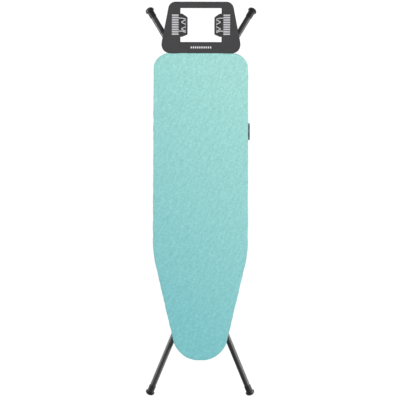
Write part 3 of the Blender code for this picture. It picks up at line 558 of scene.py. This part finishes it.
def insetOf(spot):
    # roughly how far in from the outline a point lies
    station = tailY - spot.y
    across = outlineHalf(min(max(station, 0.0), cover["length"] - 0.0005)) - abs(spot.x)
    return min(across, station, cover["length"] - station)


def insideBoard(spot, inset):
    station = tailY - spot.y
    if station < inset or station > cover["length"] - inset:
        return False
    return abs(spot.x) < outlineHalf(station, inset)


def rowStations(inset, step, noseFlat=0.012):
    # stations a steady step apart along the outline, from the tail edge to the nose
    station, end = inset, cover["length"] - inset
    rows, gone, fine = [station], 0.0, 0.0002
    half = outlineHalf(station, inset)
    while station < end:
        station = min(station + fine, end)
        newHalf = outlineHalf(station, inset)
        gone += sqrt(fine ** 2 + (newHalf - half) ** 2)
        half = newHalf
        if half < noseFlat:
            break
        if gone >= step:
            rows.append(station)
            gone = 0.0
    return rows


def boardSheet(bm, inset, step, columns, height):
    # a grid whose rows follow the board's outline
    rows = rowStations(inset, step)
    verts = bmesh.ops.create_grid(bm, x_segments=columns, y_segments=len(rows) - 1, size=0.5)["verts"]
    for vert in verts:
        row = round((0.5 - vert.co.y) * (len(rows) - 1))
        vert.co = (2 * vert.co.x * outlineHalf(rows[row], inset), along(rows[row]), height)
    bmesh.ops.recalc_face_normals(bm, faces=bm.faces)
    if bm.faces[:][0].normal.z < 0:
        bmesh.ops.reverse_faces(bm, faces=bm.faces)
    return verts


def rimRun(bm):
    # the boundary's verts in order, the way each faces out, and how far round each one is
    edges = {edge for edge in bm.edges if edge.is_boundary}
    start = min((v for edge in edges for v in edge.verts), key=lambda v: (v.co.y, v.co.x))
    ring, here, gone, run = [start], start, set(), {start: 0.0}
    while True:
        onward = [edge for edge in here.link_edges if edge in edges and edge not in gone]
        gone.add(onward[0])
        there = onward[0].other_vert(here)
        if there is start:
            break
        run[there] = run[here] + onward[0].calc_length()
        ring.append(there)
        here = there
    out = {}
    for i, vert in enumerate(ring):
        chord = (ring[(i + 1) % len(ring)].co - ring[i - 1].co).normalized()
        side = Vector((chord.y, -chord.x, 0))
        middle = Vector((0, min(max(vert.co.y, along(1.04)), along(0.06)), 0))
        out[vert] = side if side.dot(Vector((vert.co.x, vert.co.y, 0)) - middle) > 0 else -side
    return ring, run, out


def foldAt(run, depth):
    # how far the gathered hem rises here: none at the rim, most at the elastic
    swell = noise.noise(Vector((run * 9.0, 3.1, 0.0)))
    wave = sin(2 * pi * run / 0.0245 + 3.5 * swell) + 0.5 * sin(2 * pi * run / 0.0113 + 5 * swell)
    return max(0.0, depth - 0.35) / 0.65 * (1.1 + 1.0 * wave)


def gatherAt(run, depth):
    # how far the hem rises here and how far its folds are pulled outwards
    start = cover["gatherFrom"]
    if depth <= start:
        return 0.0, 0.0
    fold = foldAt(run, depth)
    return cover["gatherRise"] * fold * (depth - start) / (1 - start), cover["gatherPull"] * fold


settle = {"spare": 0.055, "frames": 20, "cap": 0.0016, "slip": 0.0005, "pinnedHem": 0.027, "low": 0.045}


def settleCover(piece):
    # lets the spare cloth round the rim buckle between the taut top and the stitched hem;
    # cloth moves off the rim and pad, never into them
    mesh = piece.data
    top = cover["edge"][1][1] - 0.0002
    start = [vert.co.copy() for vert in mesh.vertices]
    out = [vert.normal.copy() for vert in mesh.vertices]
    held = piece.vertex_groups.new(name="held")
    for vert in mesh.vertices:
        if vert.co.z > top or (vert.co.z < settle["low"] and insetOf(vert.co) > settle["pinnedHem"]):
            held.add([vert.index], 1.0, "REPLACE")
    cloth = piece.modifiers.new("settle", "CLOTH")
    cloth.settings.quality = 6
    cloth.settings.mass = 0.15
    cloth.settings.tension_stiffness = 12
    cloth.settings.compression_stiffness = 8
    cloth.settings.shear_stiffness = 4
    cloth.settings.bending_stiffness = 0.15
    cloth.settings.shrink_min = -settle["spare"]
    cloth.settings.vertex_group_mass = "held"
    cloth.settings.pin_stiffness = 1
    cloth.settings.effector_weights.gravity = 0
    cloth.collision_settings.use_collision = False
    cloth.point_cache.frame_start = 1
    cloth.point_cache.frame_end = settle["frames"]
    for number in range(1, settle["frames"] + 1):
        scene.frame_set(number)
    bakeModifiers(piece)
    scene.frame_set(1)
    for vert, home, facing in zip(piece.data.vertices, start, out):
        move = vert.co - home
        lift = move.dot(facing)
        slide = move - facing * lift
        if slide.length > settle["slip"]:
            slide *= settle["slip"] / slide.length
        vert.co = home
        if home.z <= top:
            vert.co = home + facing * min(max(lift, 0.0), settle["cap"]) + slide
            vert.co.z = min(vert.co.z, max(home.z, top))
    piece.vertex_groups.clear()


def makeCover():
    bm = bmesh.new()
    home = bm.verts.layers.float_vector.new("home")
    facing = bm.verts.layers.float_vector.new("facing")
    cut = bm.verts.layers.float_vector.new("cutPlace")
    gone = bm.verts.layers.float.new("gone")
    boardSheet(bm, cover["flatInset"], cover["step"], cover["columns"], coverTop)
    ring, run, out = rimRun(bm)
    for vert in bm.verts:
        vert[cut] = vert.co
    for vert in ring:
        vert[home] = vert.co
        vert[facing] = out[vert]
        vert[gone] = run[vert]
    edges = [edge for edge in bm.edges if edge.is_boundary]
    spot = (cover["flatInset"], coverTop)
    lay = 0.0
    profile = cover["edge"]
    for i, (inset, height) in enumerate(profile):
        lay += sqrt((inset - spot[0]) ** 2 + (height - spot[1]) ** 2)
        spot = (inset, height)
        depth = i / (len(profile) - 1)
        grown = bmesh.ops.extrude_edge_only(bm, edges=edges)["geom"]
        edges = edgesIn(grown)
        for vert in vertsIn(grown):
            lift, pull = gatherAt(vert[gone], depth)
            vert.co = vert[home] + vert[facing] * (cover["flatInset"] - inset - pull)
            vert.co.z = height + lift
            vert[cut] = vert[home] + vert[facing] * lay
    bmesh.ops.recalc_face_normals(bm, faces=bm.faces)
    top = max(bm.faces, key=lambda face: face.calc_center_median().z)
    if top.normal.z < 0:
        bmesh.ops.reverse_faces(bm, faces=bm.faces)
    layer = bm.loops.layers.uv.new("cut")
    cut = bm.verts.layers.float_vector["cutPlace"]
    for face in bm.faces:
        for loop in face.loops:
            loop[layer].uv = (loop.vert[cut].x, loop.vert[cut].y)
    for extra in ("home", "facing", "cutPlace"):
        bm.verts.layers.float_vector.remove(bm.verts.layers.float_vector[extra])
    bm.verts.layers.float.remove(bm.verts.layers.float["gone"])
    piece = finish(bm, "coverCloth", "board", cotton, ["cover"], 180)
    settleCover(piece)
    wall = piece.modifiers.new("wall", "SOLIDIFY")
    wall.thickness = cover["thickness"]
    wall.offset = -1
    smooth = piece.modifiers.new("smooth", "SUBSURF")
    smooth.levels = 1
    smooth.render_levels = 1
    bakeModifiers(piece)
    return piece


coverCloth = makeCover()
print("cover made")


hem = {
    "elasticInset": 0.0383, "elasticRadius": 0.0019, "elasticDrop": -0.0009,
    "stitchInset": 0.0300, "stitchDrop": 0.00025, "stitch": 0.0028, "pitch": 0.0042, "threadRadius": 0.00032,
}


def hemPoints(inset, drop, step=0.0085):
    # points round the hem at one distance in from the outline, lying on its folds
    bm = bmesh.new()
    boardSheet(bm, cover["flatInset"], step, cover["columns"], coverTop)
    ring, run, out = rimRun(bm)
    profile = cover["edge"]
    nearest = min(range(len(profile)), key=lambda i: abs(profile[i][0] - inset))
    depth = nearest / (len(profile) - 1)
    points = []
    for vert in ring:
        lift, pull = gatherAt(run[vert], depth)
        spot = vert.co + out[vert] * (cover["flatInset"] - inset)
        spot.z = profile[nearest][1] + lift - drop
        points.append(spot)
    bm.free()
    return points


def makeElastic():
    points = hemPoints(hem["elasticInset"], hem["elasticDrop"])
    curve = bpy.data.curves.new("elastic", "CURVE")
    curve.dimensions = "3D"
    spline = curve.splines.new("POLY")
    spline.points.add(len(points) - 1)
    for point, spot in zip(spline.points, points):
        point.co = (*spot, 1)
    spline.use_cyclic_u = True
    curve.bevel_depth = hem["elasticRadius"]
    curve.bevel_resolution = 3
    loose = bpy.data.objects.new("elastic", curve)
    scene.collection.objects.link(loose)
    bpy.context.view_layer.update()
    bm = bmesh.new()
    made = bpy.data.meshes.new_from_object(loose.evaluated_get(bpy.context.evaluated_depsgraph_get()))
    bm.from_mesh(made)
    bpy.data.objects.remove(loose)
    return finish(bm, "hemElastic", "board", braid, ["hem_elastic"], 60)


def makeStitches():
    points = hemPoints(hem["stitchInset"], hem["stitchDrop"])
    bm = bmesh.new()
    spare = 0.0
    for a, b in zip(points, points[1:] + points[:1]):
        length = (b - a).length
        heading = (b - a).normalized()
        while spare + hem["stitch"] < length:
            solidCylinder(bm, a + heading * spare, a + heading * (spare + hem["stitch"]),
                          hem["threadRadius"], 6)
            spare += hem["pitch"]
        spare = max(0.0, spare - length)
    return finish(bm, "hemStitches", "board", braid, (), 60)


makeElastic()
makeStitches()
print("hem made")


pad = {"inset": 0.0052, "step": 0.012, "columns": 22, "rounding": 0.0033, "sag": 0.0004}


def makePad():
    low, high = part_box("foam_pad")
    bm = bmesh.new()
    boardSheet(bm, pad["inset"], pad["step"], pad["columns"], high.z)
    bmesh.ops.solidify(bm, geom=bm.faces[:], thickness=high.z - low.z)
    bmesh.ops.recalc_face_normals(bm, faces=bm.faces)
    roundEdges(bm, sharpEdges(bm, 60), pad["rounding"], 4)
    for vert in bm.verts:
        if vert.co.z < low.z + 0.001:
            vert.co.z += pad["sag"] * (1 + noise.noise(vert.co * 70))
    piece = finish(bm, "foamPad", "board", foam, ["foam_pad"], 60)
    return piece


deck = {"across": 0.020, "down": 0.0095, "strand": 0.0012, "edge": 0.0085, "wave": 0.00035,
        "drop": 0.0006, "thickness": 0.0008}


def makeDeck():
    # expanded metal: a lattice of diamonds, each opened in its middle, with twisted strands
    low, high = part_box("deck_mesh")
    bm = bmesh.new()
    span = cover["length"] / deck["down"] / 2 + cover["halfWidth"] / deck["across"]
    cells = int(span) * 2 + 2
    bmesh.ops.create_grid(bm, x_segments=cells, y_segments=cells, size=cells / 2)
    middle = along(cover["length"] / 2)
    for vert in bm.verts:
        u, v = vert.co.x, vert.co.y
        vert.co = ((u - v) * deck["across"] / 2, middle + (u + v) * deck["down"] / 2, high.z - deck["drop"])
    outside = [face for face in bm.faces if not insideBoard(face.calc_center_median(), deck["edge"])]
    bmesh.ops.delete(bm, geom=outside, context="FACES")
    diamonds = bm.faces[:]
    bmesh.ops.inset_individual(bm, faces=diamonds, thickness=deck["strand"], use_even_offset=True)
    for face in diamonds:
        centre = face.calc_center_median()
        for vert in face.verts:
            vert.co.z += deck["wave"] if vert.co.y > centre.y + 0.0005 else 0
            vert.co.z -= deck["wave"] if vert.co.y < centre.y - 0.0005 else 0
    bmesh.ops.delete(bm, geom=diamonds, context="FACES_ONLY")
    bmesh.ops.recalc_face_normals(bm, faces=bm.faces)
    bmesh.ops.solidify(bm, geom=bm.faces[:], thickness=deck["thickness"])
    bmesh.ops.recalc_face_normals(bm, faces=bm.faces)
    return finish(bm, "meshDeck", "board", greyCoat, ["deck_mesh"], 40)


makePad()
makeDeck()
print("pad and deck made")


rest = {
    "far": -0.193, "near": -0.0003, "halfFar": 0.118, "halfNear": 0.155, "cornerFar": 0.0223,
    "cornerNear": 0.0412, "windowHalf": 0.077, "windowFar": -0.170, "windowNear": -0.042,
    "windowCorner": 0.0022, "plate": 0.0035, "wall": 0.0025, "rounding": 0.0052,
    "inlay": (0.0837, 0.1093), "inlayFar": -0.1448, "inlayNear": -0.0682, "recess": 0.0015,
    "bossX": 0.101, "bossStations": (-0.158, -0.026), "bossRadius": 0.005,
    "taperRun": 0.192, "ribHalf": 0.0008, "ribStations": (-0.150, -0.118, -0.092, -0.056),
    "ribX": (-0.050, -0.025, 0.0, 0.025, 0.050),
}


def windowEdge(edge, slack=0.0004):
    middle = (edge.verts[0].co + edge.verts[1].co) / 2
    station = tailY - middle.y
    return (abs(middle.x) < rest["windowHalf"] + slack
            and rest["windowFar"] - slack < station < rest["windowNear"] + slack)


def cutTop(bm, height, spot, facing):
    # cuts the faces of the top where a plane crosses them
    faces = [face for face in bm.faces if face.normal.z > 0.9
             and face.calc_center_median().z > height - 1e-4]
    geom = list({v for face in faces for v in face.verts}) + list({e for face in faces for e in face.edges})
    bmesh.ops.bisect_plane(bm, geom=geom + faces, plane_co=spot, plane_no=facing, dist=1e-6)


def makeRest():
    low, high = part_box("iron_rest")
    bm = bmesh.new()
    plan = [(rest["halfNear"], rest["near"]), (rest["halfFar"], rest["far"]),
            (-rest["halfFar"], rest["far"]), (-rest["halfNear"], rest["near"])]
    corners = [bm.verts.new((x, along(station), high.z)) for x, station in plan]
    bm.faces.new(corners)
    for pair, offset in (((0, 3), rest["cornerNear"]), ((1, 2), rest["cornerFar"])):
        bmesh.ops.bevel(bm, geom=[corners[i] for i in pair], offset=offset, offset_type="OFFSET",
                        segments=12, profile=0.5, affect="VERTICES", clamp_overlap=True, material=-1)
    slices = [((x, 0, 0), (1, 0, 0)) for x in (-rest["windowHalf"], rest["windowHalf"])]
    slices += [((0, along(station), 0), (0, 1, 0)) for station in (rest["windowFar"], rest["windowNear"])]
    for spot, facing in slices:
        bmesh.ops.bisect_plane(bm, geom=bm.verts[:] + bm.edges[:] + bm.faces[:], plane_co=spot,
                               plane_no=facing, dist=1e-6)
    hole = [face for face in bm.faces if abs(face.calc_center_median().x) < 0.02
            and rest["windowFar"] < tailY - face.calc_center_median().y < rest["windowNear"]]
    bmesh.ops.delete(bm, geom=hole, context="FACES")
    grown = bmesh.ops.extrude_face_region(bm, geom=bm.faces[:])["geom"]
    bmesh.ops.translate(bm, verts=vertsIn(grown), vec=(0, 0, low.z - high.z))
    bmesh.ops.recalc_face_normals(bm, faces=bm.faces)
    upright = [edge for edge in bm.edges if windowEdge(edge) and rise(edge) > 0.01
               and edge.calc_face_angle(0) > 0.5]
    roundEdges(bm, upright, rest["windowCorner"], 4)
    # the hollow underside
    under = [face for face in bm.faces if face.normal.z < -0.9]
    bmesh.ops.inset_region(bm, faces=under, thickness=rest["wall"], use_even_offset=True)
    sunk = bmesh.ops.extrude_face_region(bm, geom=under)["geom"]
    bmesh.ops.delete(bm, geom=under, context="FACES")
    bmesh.ops.translate(bm, verts=vertsIn(sunk), vec=(0, 0, high.z - low.z - rest["plate"]))
    # shallow recesses that take the ribbed inlays
    for sign in (-1, 1):
        for x in rest["inlay"]:
            cutTop(bm, high.z, (sign * x, 0, 0), (1, 0, 0))
    for station in (rest["inlayFar"], rest["inlayNear"]):
        cutTop(bm, high.z, (0, along(station), 0), (0, 1, 0))
    bed = [face for face in bm.faces if face.normal.z > 0.9 and face.calc_center_median().z > high.z - 0.0001
           and rest["inlay"][0] < abs(face.calc_center_median().x) < rest["inlay"][1]
           and rest["inlayFar"] < tailY - face.calc_center_median().y < rest["inlayNear"]]
    dropped = bmesh.ops.extrude_face_region(bm, geom=bed)["geom"]
    bmesh.ops.delete(bm, geom=bed, context="FACES")
    bmesh.ops.translate(bm, verts=vertsIn(dropped), vec=(0, 0, -rest["recess"]))
    bmesh.ops.recalc_face_normals(bm, faces=bm.faces)
    rim = [edge for edge in bm.edges if min(v.co.z for v in edge.verts) > high.z - 1e-5
           and edge.calc_face_angle(0) > 1.0]
    outer = [edge for edge in rim if not windowEdge(edge, 0.045)]
    inner = [edge for edge in rim if windowEdge(edge)]
    roundEdges(bm, outer, rest["rounding"], 6)
    roundEdges(bm, [edge for edge in inner if edge.is_valid], 0.0011, 3)
    # ribs and screw bosses in the hollow
    ceiling = high.z - rest["plate"] + 0.0002
    ribZ = low.z + 0.004
    half = rest["ribHalf"]
    for station in rest["ribStations"]:
        widening = (rest["halfNear"] - rest["halfFar"]) / rest["taperRun"]
        reach = rest["halfFar"] + (station - rest["far"]) * widening
        for sign in (-1, 1):
            spread = sorted((sign * (rest["windowHalf"] + 0.0015), sign * (reach - 0.0035)))
            solidBox(bm, (spread[0], along(station) - half, ribZ),
                     (spread[1], along(station) + half, ceiling))
    for x in rest["ribX"]:
        solidBox(bm, (x - half, along(rest["near"]) + 0.002, ribZ),
                 (x + half, along(rest["windowNear"]) - 0.001, ceiling))
        solidBox(bm, (x - half, along(rest["windowFar"]) + 0.001, ribZ),
                 (x + half, along(rest["far"]) - 0.002, ceiling))
    for sign in (-1, 1):
        for station in rest["bossStations"]:
            spot = Vector((sign * rest["bossX"], along(station), low.z))
            solidCylinder(bm, spot, spot + Vector((0, 0, ceiling - low.z)), rest["bossRadius"], 24)
    return finish(bm, "ironRestTray", "board", charcoal, ["iron_rest"], 32)


mark = {"count": 10, "pitch": 0.0080, "size": (0.0046, 0.0074), "station": -0.0215, "proud": 0.00015}


def makeMark():
    # a plain row of printed dashes
    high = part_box("iron_rest")[1].z
    bm = bmesh.new()
    wide, tall = mark["size"]
    y = along(mark["station"])
    for i in range(mark["count"]):
        x = (i - (mark["count"] - 1) / 2) * mark["pitch"]
        verts = solidBox(bm, (x - wide / 2, y - tall / 2, high - 0.0003),
                         (x + wide / 2, y + tall / 2, high + mark["proud"]))
        upright = [edge for edge in edgesOf(verts) if rise(edge) > 1e-4]
        roundEdges(bm, upright, 0.0012, 3)
    return finish(bm, "printedDashes", "board", ink, (), 40)


ear = {"rim": 0.0046, "proud": 0.0022, "edge": 0.0007, "reach": 0.0765}


def makeEar(side):
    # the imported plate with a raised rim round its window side
    bm = packedCopy("rest_ear_" + side)
    top = [face for face in bm.faces if face.normal.z > 0.9]
    made = bmesh.ops.inset_region(bm, faces=top, thickness=ear["rim"], use_even_offset=True)["faces"]
    ridge = [face for face in made if all(abs(v.co.x) < ear["reach"] for v in face.verts)]
    grown = bmesh.ops.extrude_face_region(bm, geom=ridge)["geom"]
    bmesh.ops.delete(bm, geom=ridge, context="FACES")
    bmesh.ops.translate(bm, verts=vertsIn(grown), vec=(0, 0, ear["proud"]))
    bmesh.ops.recalc_face_normals(bm, faces=bm.faces)
    roundEdges(bm, sharpEdges(bm, 50), ear["edge"], 2)
    return finish(bm, "restEar_" + side, "board", earBlack, ["rest_ear_" + side])


makeRest()
makeMark()
for side, sign in sides:
    makeEar(side)
    softCopy("rest_inlay_" + side, "ribbedInlay_" + side, "board", silicone, 0.0005, 2)
    softCopy("rest_truss_" + side, "softLattice_" + side, "board", silicone, 0.0006, 2)
    softCopy("rest_strap_" + side, "restStrap_" + side, "board", blackCoat, 0.0005, 2)
print("iron rest made")


legs = {
    "radius": 0.011, "bend": 0.060, "capGap": 0.0063,
    "nose": {"x": 0.068, "end": 0.193, "footX": 0.188, "foot": 1.273, "splay": radians(22.5),
             "body": "nose_leg_frame"},
    "tail": {"x": 0.042, "end": 0.915, "footX": 0.193, "foot": -0.163, "splay": radians(31),
             "body": "tail_leg_frame"},
}
cap = {
    "profile": [(0.0, -0.0120), (0.0030, -0.0118), (0.0062, -0.0111), (0.0070, -0.0104), (0.0078, -0.0105),
                (0.0100, -0.0095), (0.0128, -0.0077), (0.0150, -0.0053), (0.0163, -0.0026), (0.0168, 0.0),
                (0.0168, 0.0040), (0.0166, 0.0049), (0.0158, 0.0053), (0.0136, 0.0054), (0.0128, 0.0062),
                (0.0127, 0.0085), (0.0127, 0.0105), (0.0121, 0.0109), (0.0121, 0.0119), (0.0127, 0.0123),
                (0.0127, 0.0150), (0.0121, 0.0154), (0.0121, 0.0164), (0.0127, 0.0168), (0.0127, 0.0195),
                (0.0121, 0.0199), (0.0121, 0.0209), (0.0127, 0.0213), (0.0128, 0.0262), (0.0126, 0.0274),
                (0.0121, 0.0280), (0.0113, 0.0280), (0.0113, 0.0060), (0.0, 0.0060)],
}


def makeLeg(end, side, sign):
    leg = legs[end]
    run = (leg["footX"] - leg["x"]) / tan(leg["splay"])
    kneeStation = leg["foot"] - run if end == "nose" else leg["foot"] + run
    foot = Vector((sign * leg["footX"], along(leg["foot"]), legZ))
    knee = Vector((sign * leg["x"], along(kneeStation), legZ))
    top = Vector((sign * leg["x"], along(leg["end"]), legZ))
    heading = (knee - foot).normalized()
    bm = bmesh.new()
    sweepTube(bm, [top, knee, foot + heading * legs["capGap"]], legs["radius"], legs["bend"], 32, 14)
    finish(bm, "legTube_%s_%s" % (end, side), leg["body"], blackCoat,
           ["%s_leg_%s" % (end, side)], 50)
    bm = bmesh.new()
    spinProfile(bm, cap["profile"], foot, heading, 48)
    finish(bm, "footCap_%s_%s" % (end, side), leg["body"], capBlack,
           ["%s_foot_%s" % (end, side)], 42)


def makeWelds(end, spreaders):
    # a lumpy weld bead where each spreader meets a leg
    bm = bmesh.new()
    for name in spreaders:
        low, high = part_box(name)
        for x, facing in ((low.x, 1), (high.x, -1)):
            middle = Vector((x + facing * 0.0030, (low.y + high.y) / 2, legZ))
            before = set(bm.verts)
            ring = [(0.0082 + 0.0014 * cos(a), 0.0019 * sin(a)) for a in
                    (2 * pi * i / 8 for i in range(8))]
            spinProfile(bm, ring + ring[:1], middle, (1, 0, 0), 40)
            for vert in set(bm.verts) - before:
                vert.co += (vert.co - middle).normalized() * 0.0005 * noise.noise(vert.co * 420)
    return finish(bm, "weldBeads_" + end, legs[end]["body"], blackCoat, (), 60)


for end in ("nose", "tail"):
    for side, sign in sides:
        makeLeg(end, side, sign)
makeWelds("nose", ["nose_spreader"])
makeWelds("tail", ["tail_spreader_lower", "tail_spreader_upper"])
print("legs made")


lever = {
    "x": 0.095, "z": legZ + 0.028, "bailX": 0.0215, "bailZ": legZ + 0.017, "bail": (0.628, 0.782),
    "gripX": 0.1785, "gripZ": 0.017, "grip": (0.260, 0.324), "gripRadius": 0.0062, "wire": 0.003,
    "ridges": 9, "ridgePitch": 0.0055, "ridgeHalf": 0.0011, "ridgeProud": 0.0003, "softness": 0.0042,
    "coil": 0.0046, "turns": 6.1, "pitch": 0.0034, "coilStart": 0.3725, "springWire": 0.0007,
}


def makeLever():
    x, z = lever["x"], lever["z"]
    tail, nose = lever["bail"]
    gripX, gripZ = lever["gripX"], lever["gripZ"]
    spots = [(gripX, lever["grip"][0] + 0.012, gripZ), (gripX, 0.346, gripZ), (0.125, 0.353, 0.022),
             (x, 0.366, z), (x, tail - 0.010, z), (lever["bailX"], tail - 0.010, z),
             (lever["bailX"], tail, lever["bailZ"]), (lever["bailX"], nose, lever["bailZ"]),
             (lever["bailX"], nose + 0.010, z), (x, nose + 0.010, z), (x, 0.824, z)]
    bm = bmesh.new()
    sweepTube(bm, [(a, along(station), b) for a, station, b in spots], lever["wire"], 0.0046, 16, 6)
    finish(bm, "leverWire", "release_lever", zinc, ["lever_wire"], 50)


def makeGrip():
    # a soft-cornered handle with low ridges across it
    bm = bmesh.new()
    start, end = lever["grip"]
    x, z, r = lever["gripX"], lever["gripZ"], lever["gripRadius"]
    solidBox(bm, (x - r, along(end), z - r), (x + r, along(start), z + r))
    roundEdges(bm, bm.edges[:], lever["softness"], 5)
    half, out = lever["ridgeHalf"], r + lever["ridgeProud"]
    for i in range(lever["ridges"]):
        y = along(start) - 0.010 - i * lever["ridgePitch"]
        verts = solidBox(bm, (x - out, y - half, z - out), (x + out, y + half, z + out))
        roundEdges(bm, [edge for edge in edgesOf(verts) if rise(edge, 1) > 0.001], lever["softness"], 5)
    finish(bm, "leverGrip", "release_lever", gripBlack, ["lever_grip"], 40)


def makeSpring():
    bm = bmesh.new()
    x, z, coil = lever["x"], lever["z"], lever["coil"]
    start = radians(51)
    steps = int(lever["turns"] * 18)
    angle = lever["turns"] * 2 * pi
    first = Vector((x + coil * cos(start), along(lever["coilStart"]), z + coil * sin(start)))
    tangent = Vector((-sin(start), -lever["pitch"] / (2 * pi * coil), cos(start))).normalized()
    turn = tangent.to_track_quat("Z", "Y").to_matrix().to_4x4()
    ring = bmesh.ops.create_circle(bm, segments=8, radius=lever["springWire"],
                                   matrix=Matrix.Translation(first) @ turn)["verts"]
    bmesh.ops.spin(bm, geom=ring + edgesOf(ring), cent=(x, first.y, z), axis=(0, -1, 0), angle=angle,
                   dvec=(0, -lever["pitch"] * lever["turns"] / steps, 0), steps=steps)
    bmesh.ops.holes_fill(bm, edges=[edge for edge in bm.edges if edge.is_boundary], sides=0)
    finishTurn = start + angle
    last = Vector((x + coil * cos(finishTurn), first.y - lever["pitch"] * lever["turns"],
                   z + coil * sin(finishTurn)))
    solidCylinder(bm, (0.1145, along(0.3565), 0.0362), first, lever["springWire"], 8)
    solidCylinder(bm, last, last + Vector((-0.013, 0, 0.0015)), lever["springWire"], 8)
    bmesh.ops.recalc_face_normals(bm, faces=bm.faces)
    piece = finish(bm, "returnSpring", None, springSteel, ["return_spring"], 60)
    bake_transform(piece, "board", "release_lever", start=(x, last.y, z), end=(x, first.y, z))


makeLever()
makeGrip()
makeSpring()
for name in ("lever_clip_tail", "lever_clip_nose"):
    softCopy(name, name.replace("lever_clip", "leverClip"), "board", earBlack, 0.0006, 2)
print("lever made")


for name in ("brace_tail", "brace_middle", "brace_nose", "slide_channel"):
    softCopy(name, name.replace("_", "Plate_"), "board", greyCoat, 0.0005, 2)
for side, sign in sides:
    softCopy("hinge_bracket_" + side, "hingeBracket_" + side, "board", zinc, 0.0004, 2)

plain = {
    "black_paint": blackCoat, "grey_paint": greyCoat, "zinc": zinc, "spring_steel": springSteel,
    "charcoal_plastic": charcoal, "dark_plastic": earBlack, "black_plastic": capBlack,
    "grey_silicone": silicone, "turquoise_cotton": cotton, "foam": foam, "elastic": braid,
}
slotOf = {part["node"]: part["material_slot"] for part in frame["record"]["subparts"]}
for name, node in frame["nodes"].items():
    node.data.materials.clear()
    node.data.materials.append(plain[slotOf[name]])
print("packed parts painted")


studio = {
    "floorZ": -0.860, "floorSize": 80,
    "backdrop": 0.98, "sky": 0.92, "sideSky": 0.45, "endSky": -0.45, "flag": 0.75,
    "sun": 1.10, "sunAngle": radians(70), "sunTurn": (radians(-12), radians(8), 0),
    "strip": 50,
    # where each strip stands, where it points, and its size
    "strips": {"stripLeft": ((-1.5, 0.65, 0.45), (-0.1, 0.65, 0.0), (2.0, 0.6)),
               "stripRight": ((1.5, -0.65, 0.45), (0.1, -0.65, 0.0), (1.8, 0.6))},
    "view": 1.496, "distance": 7.0, "middle": (-0.002, -0.003), "roll": radians(0.15),
}


def makeFloor():
    bm = bmesh.new()
    bmesh.ops.create_grid(bm, x_segments=1, y_segments=1, size=studio["floorSize"] / 2,
                          matrix=Matrix.Translation((0, 0, studio["floorZ"])))
    mesh = bpy.data.meshes.new("floor")
    bm.to_mesh(mesh)
    bm.free()
    material, tree, shader, vector = startMaterial("paleFloor", (0.93, 0.93, 0.93), 0.9,
                                                   Specular_IOR_Level=0.1)
    tone = noiseAt(tree, vector, 1.3, 2.0)
    tree.links.new(blendColours(tree, tone, (0.92, 0.92, 0.92), (0.94, 0.94, 0.94)), shader["Base Color"])
    mesh.materials.append(material)
    floorPiece = bpy.data.objects.new("floor", mesh)
    scene.collection.objects.link(floorPiece)


def makeLight(name, kind, energy, place, aim=None, size=(1, 1)):
    light = bpy.data.lights.new(name, kind)
    light.energy = energy
    made = bpy.data.objects.new(name, light)
    made.location = place
    if kind == "AREA":
        light.shape = "RECTANGLE"
        light.size, light.size_y = size
        made.visible_diffuse = False         # the strips are there for their streaks on the tubes
    if aim is not None:
        made.rotation_euler = (Vector(aim) - Vector(place)).to_track_quat("-Z", "Y").to_euler()
    scene.collection.objects.link(made)
    return made


def makeStudio():
    world = bpy.data.worlds.new("studio")
    world.use_nodes = True
    tree = world.node_tree
    sky = tree.nodes["Background"]
    sky.inputs["Color"].default_value = (1, 1, 1, 1)
    paths = tree.nodes.new("ShaderNodeLightPath").outputs
    seen = paths["Is Camera Ray"]            # the backdrop is white paper
    split = tree.nodes.new("ShaderNodeSeparateXYZ")
    tree.links.new(tree.nodes.new("ShaderNodeTexCoord").outputs["Generated"], split.inputs[0])
    sideways = maths(tree, "MULTIPLY", maths(tree, "POWER", maths(tree, "ABSOLUTE", split.outputs[0]), 2),
                     studio["sideSky"])
    endways = maths(tree, "MULTIPLY", maths(tree, "POWER", maths(tree, "ABSOLUTE", split.outputs[1]), 2),
                    studio["endSky"])
    uneven = maths(tree, "ADD", maths(tree, "ADD", sideways, endways), 1.0)
    glow = maths(tree, "MULTIPLY", uneven, studio["sky"])
    flagged = maths(tree, "SUBTRACT", 1.0, maths(tree, "MULTIPLY", paths["Is Glossy Ray"], studio["flag"]))
    unseen = maths(tree, "SUBTRACT", 1.0, seen)
    given = maths(tree, "MULTIPLY", maths(tree, "MULTIPLY", unseen, glow), flagged)
    backdrop = maths(tree, "MULTIPLY", seen, studio["backdrop"])
    tree.links.new(maths(tree, "ADD", given, backdrop), sky.inputs["Strength"])
    scene.world = world
    sun = makeLight("softSun", "SUN", studio["sun"], (0, 0, 5))
    sun.data.angle = studio["sunAngle"]
    sun.rotation_euler = studio["sunTurn"]
    for name, (place, aim, size) in studio["strips"].items():
        makeLight(name, "AREA", studio["strip"], place, aim, size)
    camera = bpy.data.cameras.new("camera")
    camera.lens = 36 * studio["distance"] / studio["view"]
    camera.sensor_width = 36
    camera.clip_end = 60
    eye = bpy.data.objects.new("camera", camera)
    eye.location = (*studio["middle"], coverTop + studio["distance"])
    eye.rotation_euler = (0, 0, studio["roll"])
    scene.collection.objects.link(eye)
    scene.camera = eye
    scene.view_settings.view_transform = "Standard"


makeFloor()
makeStudio()
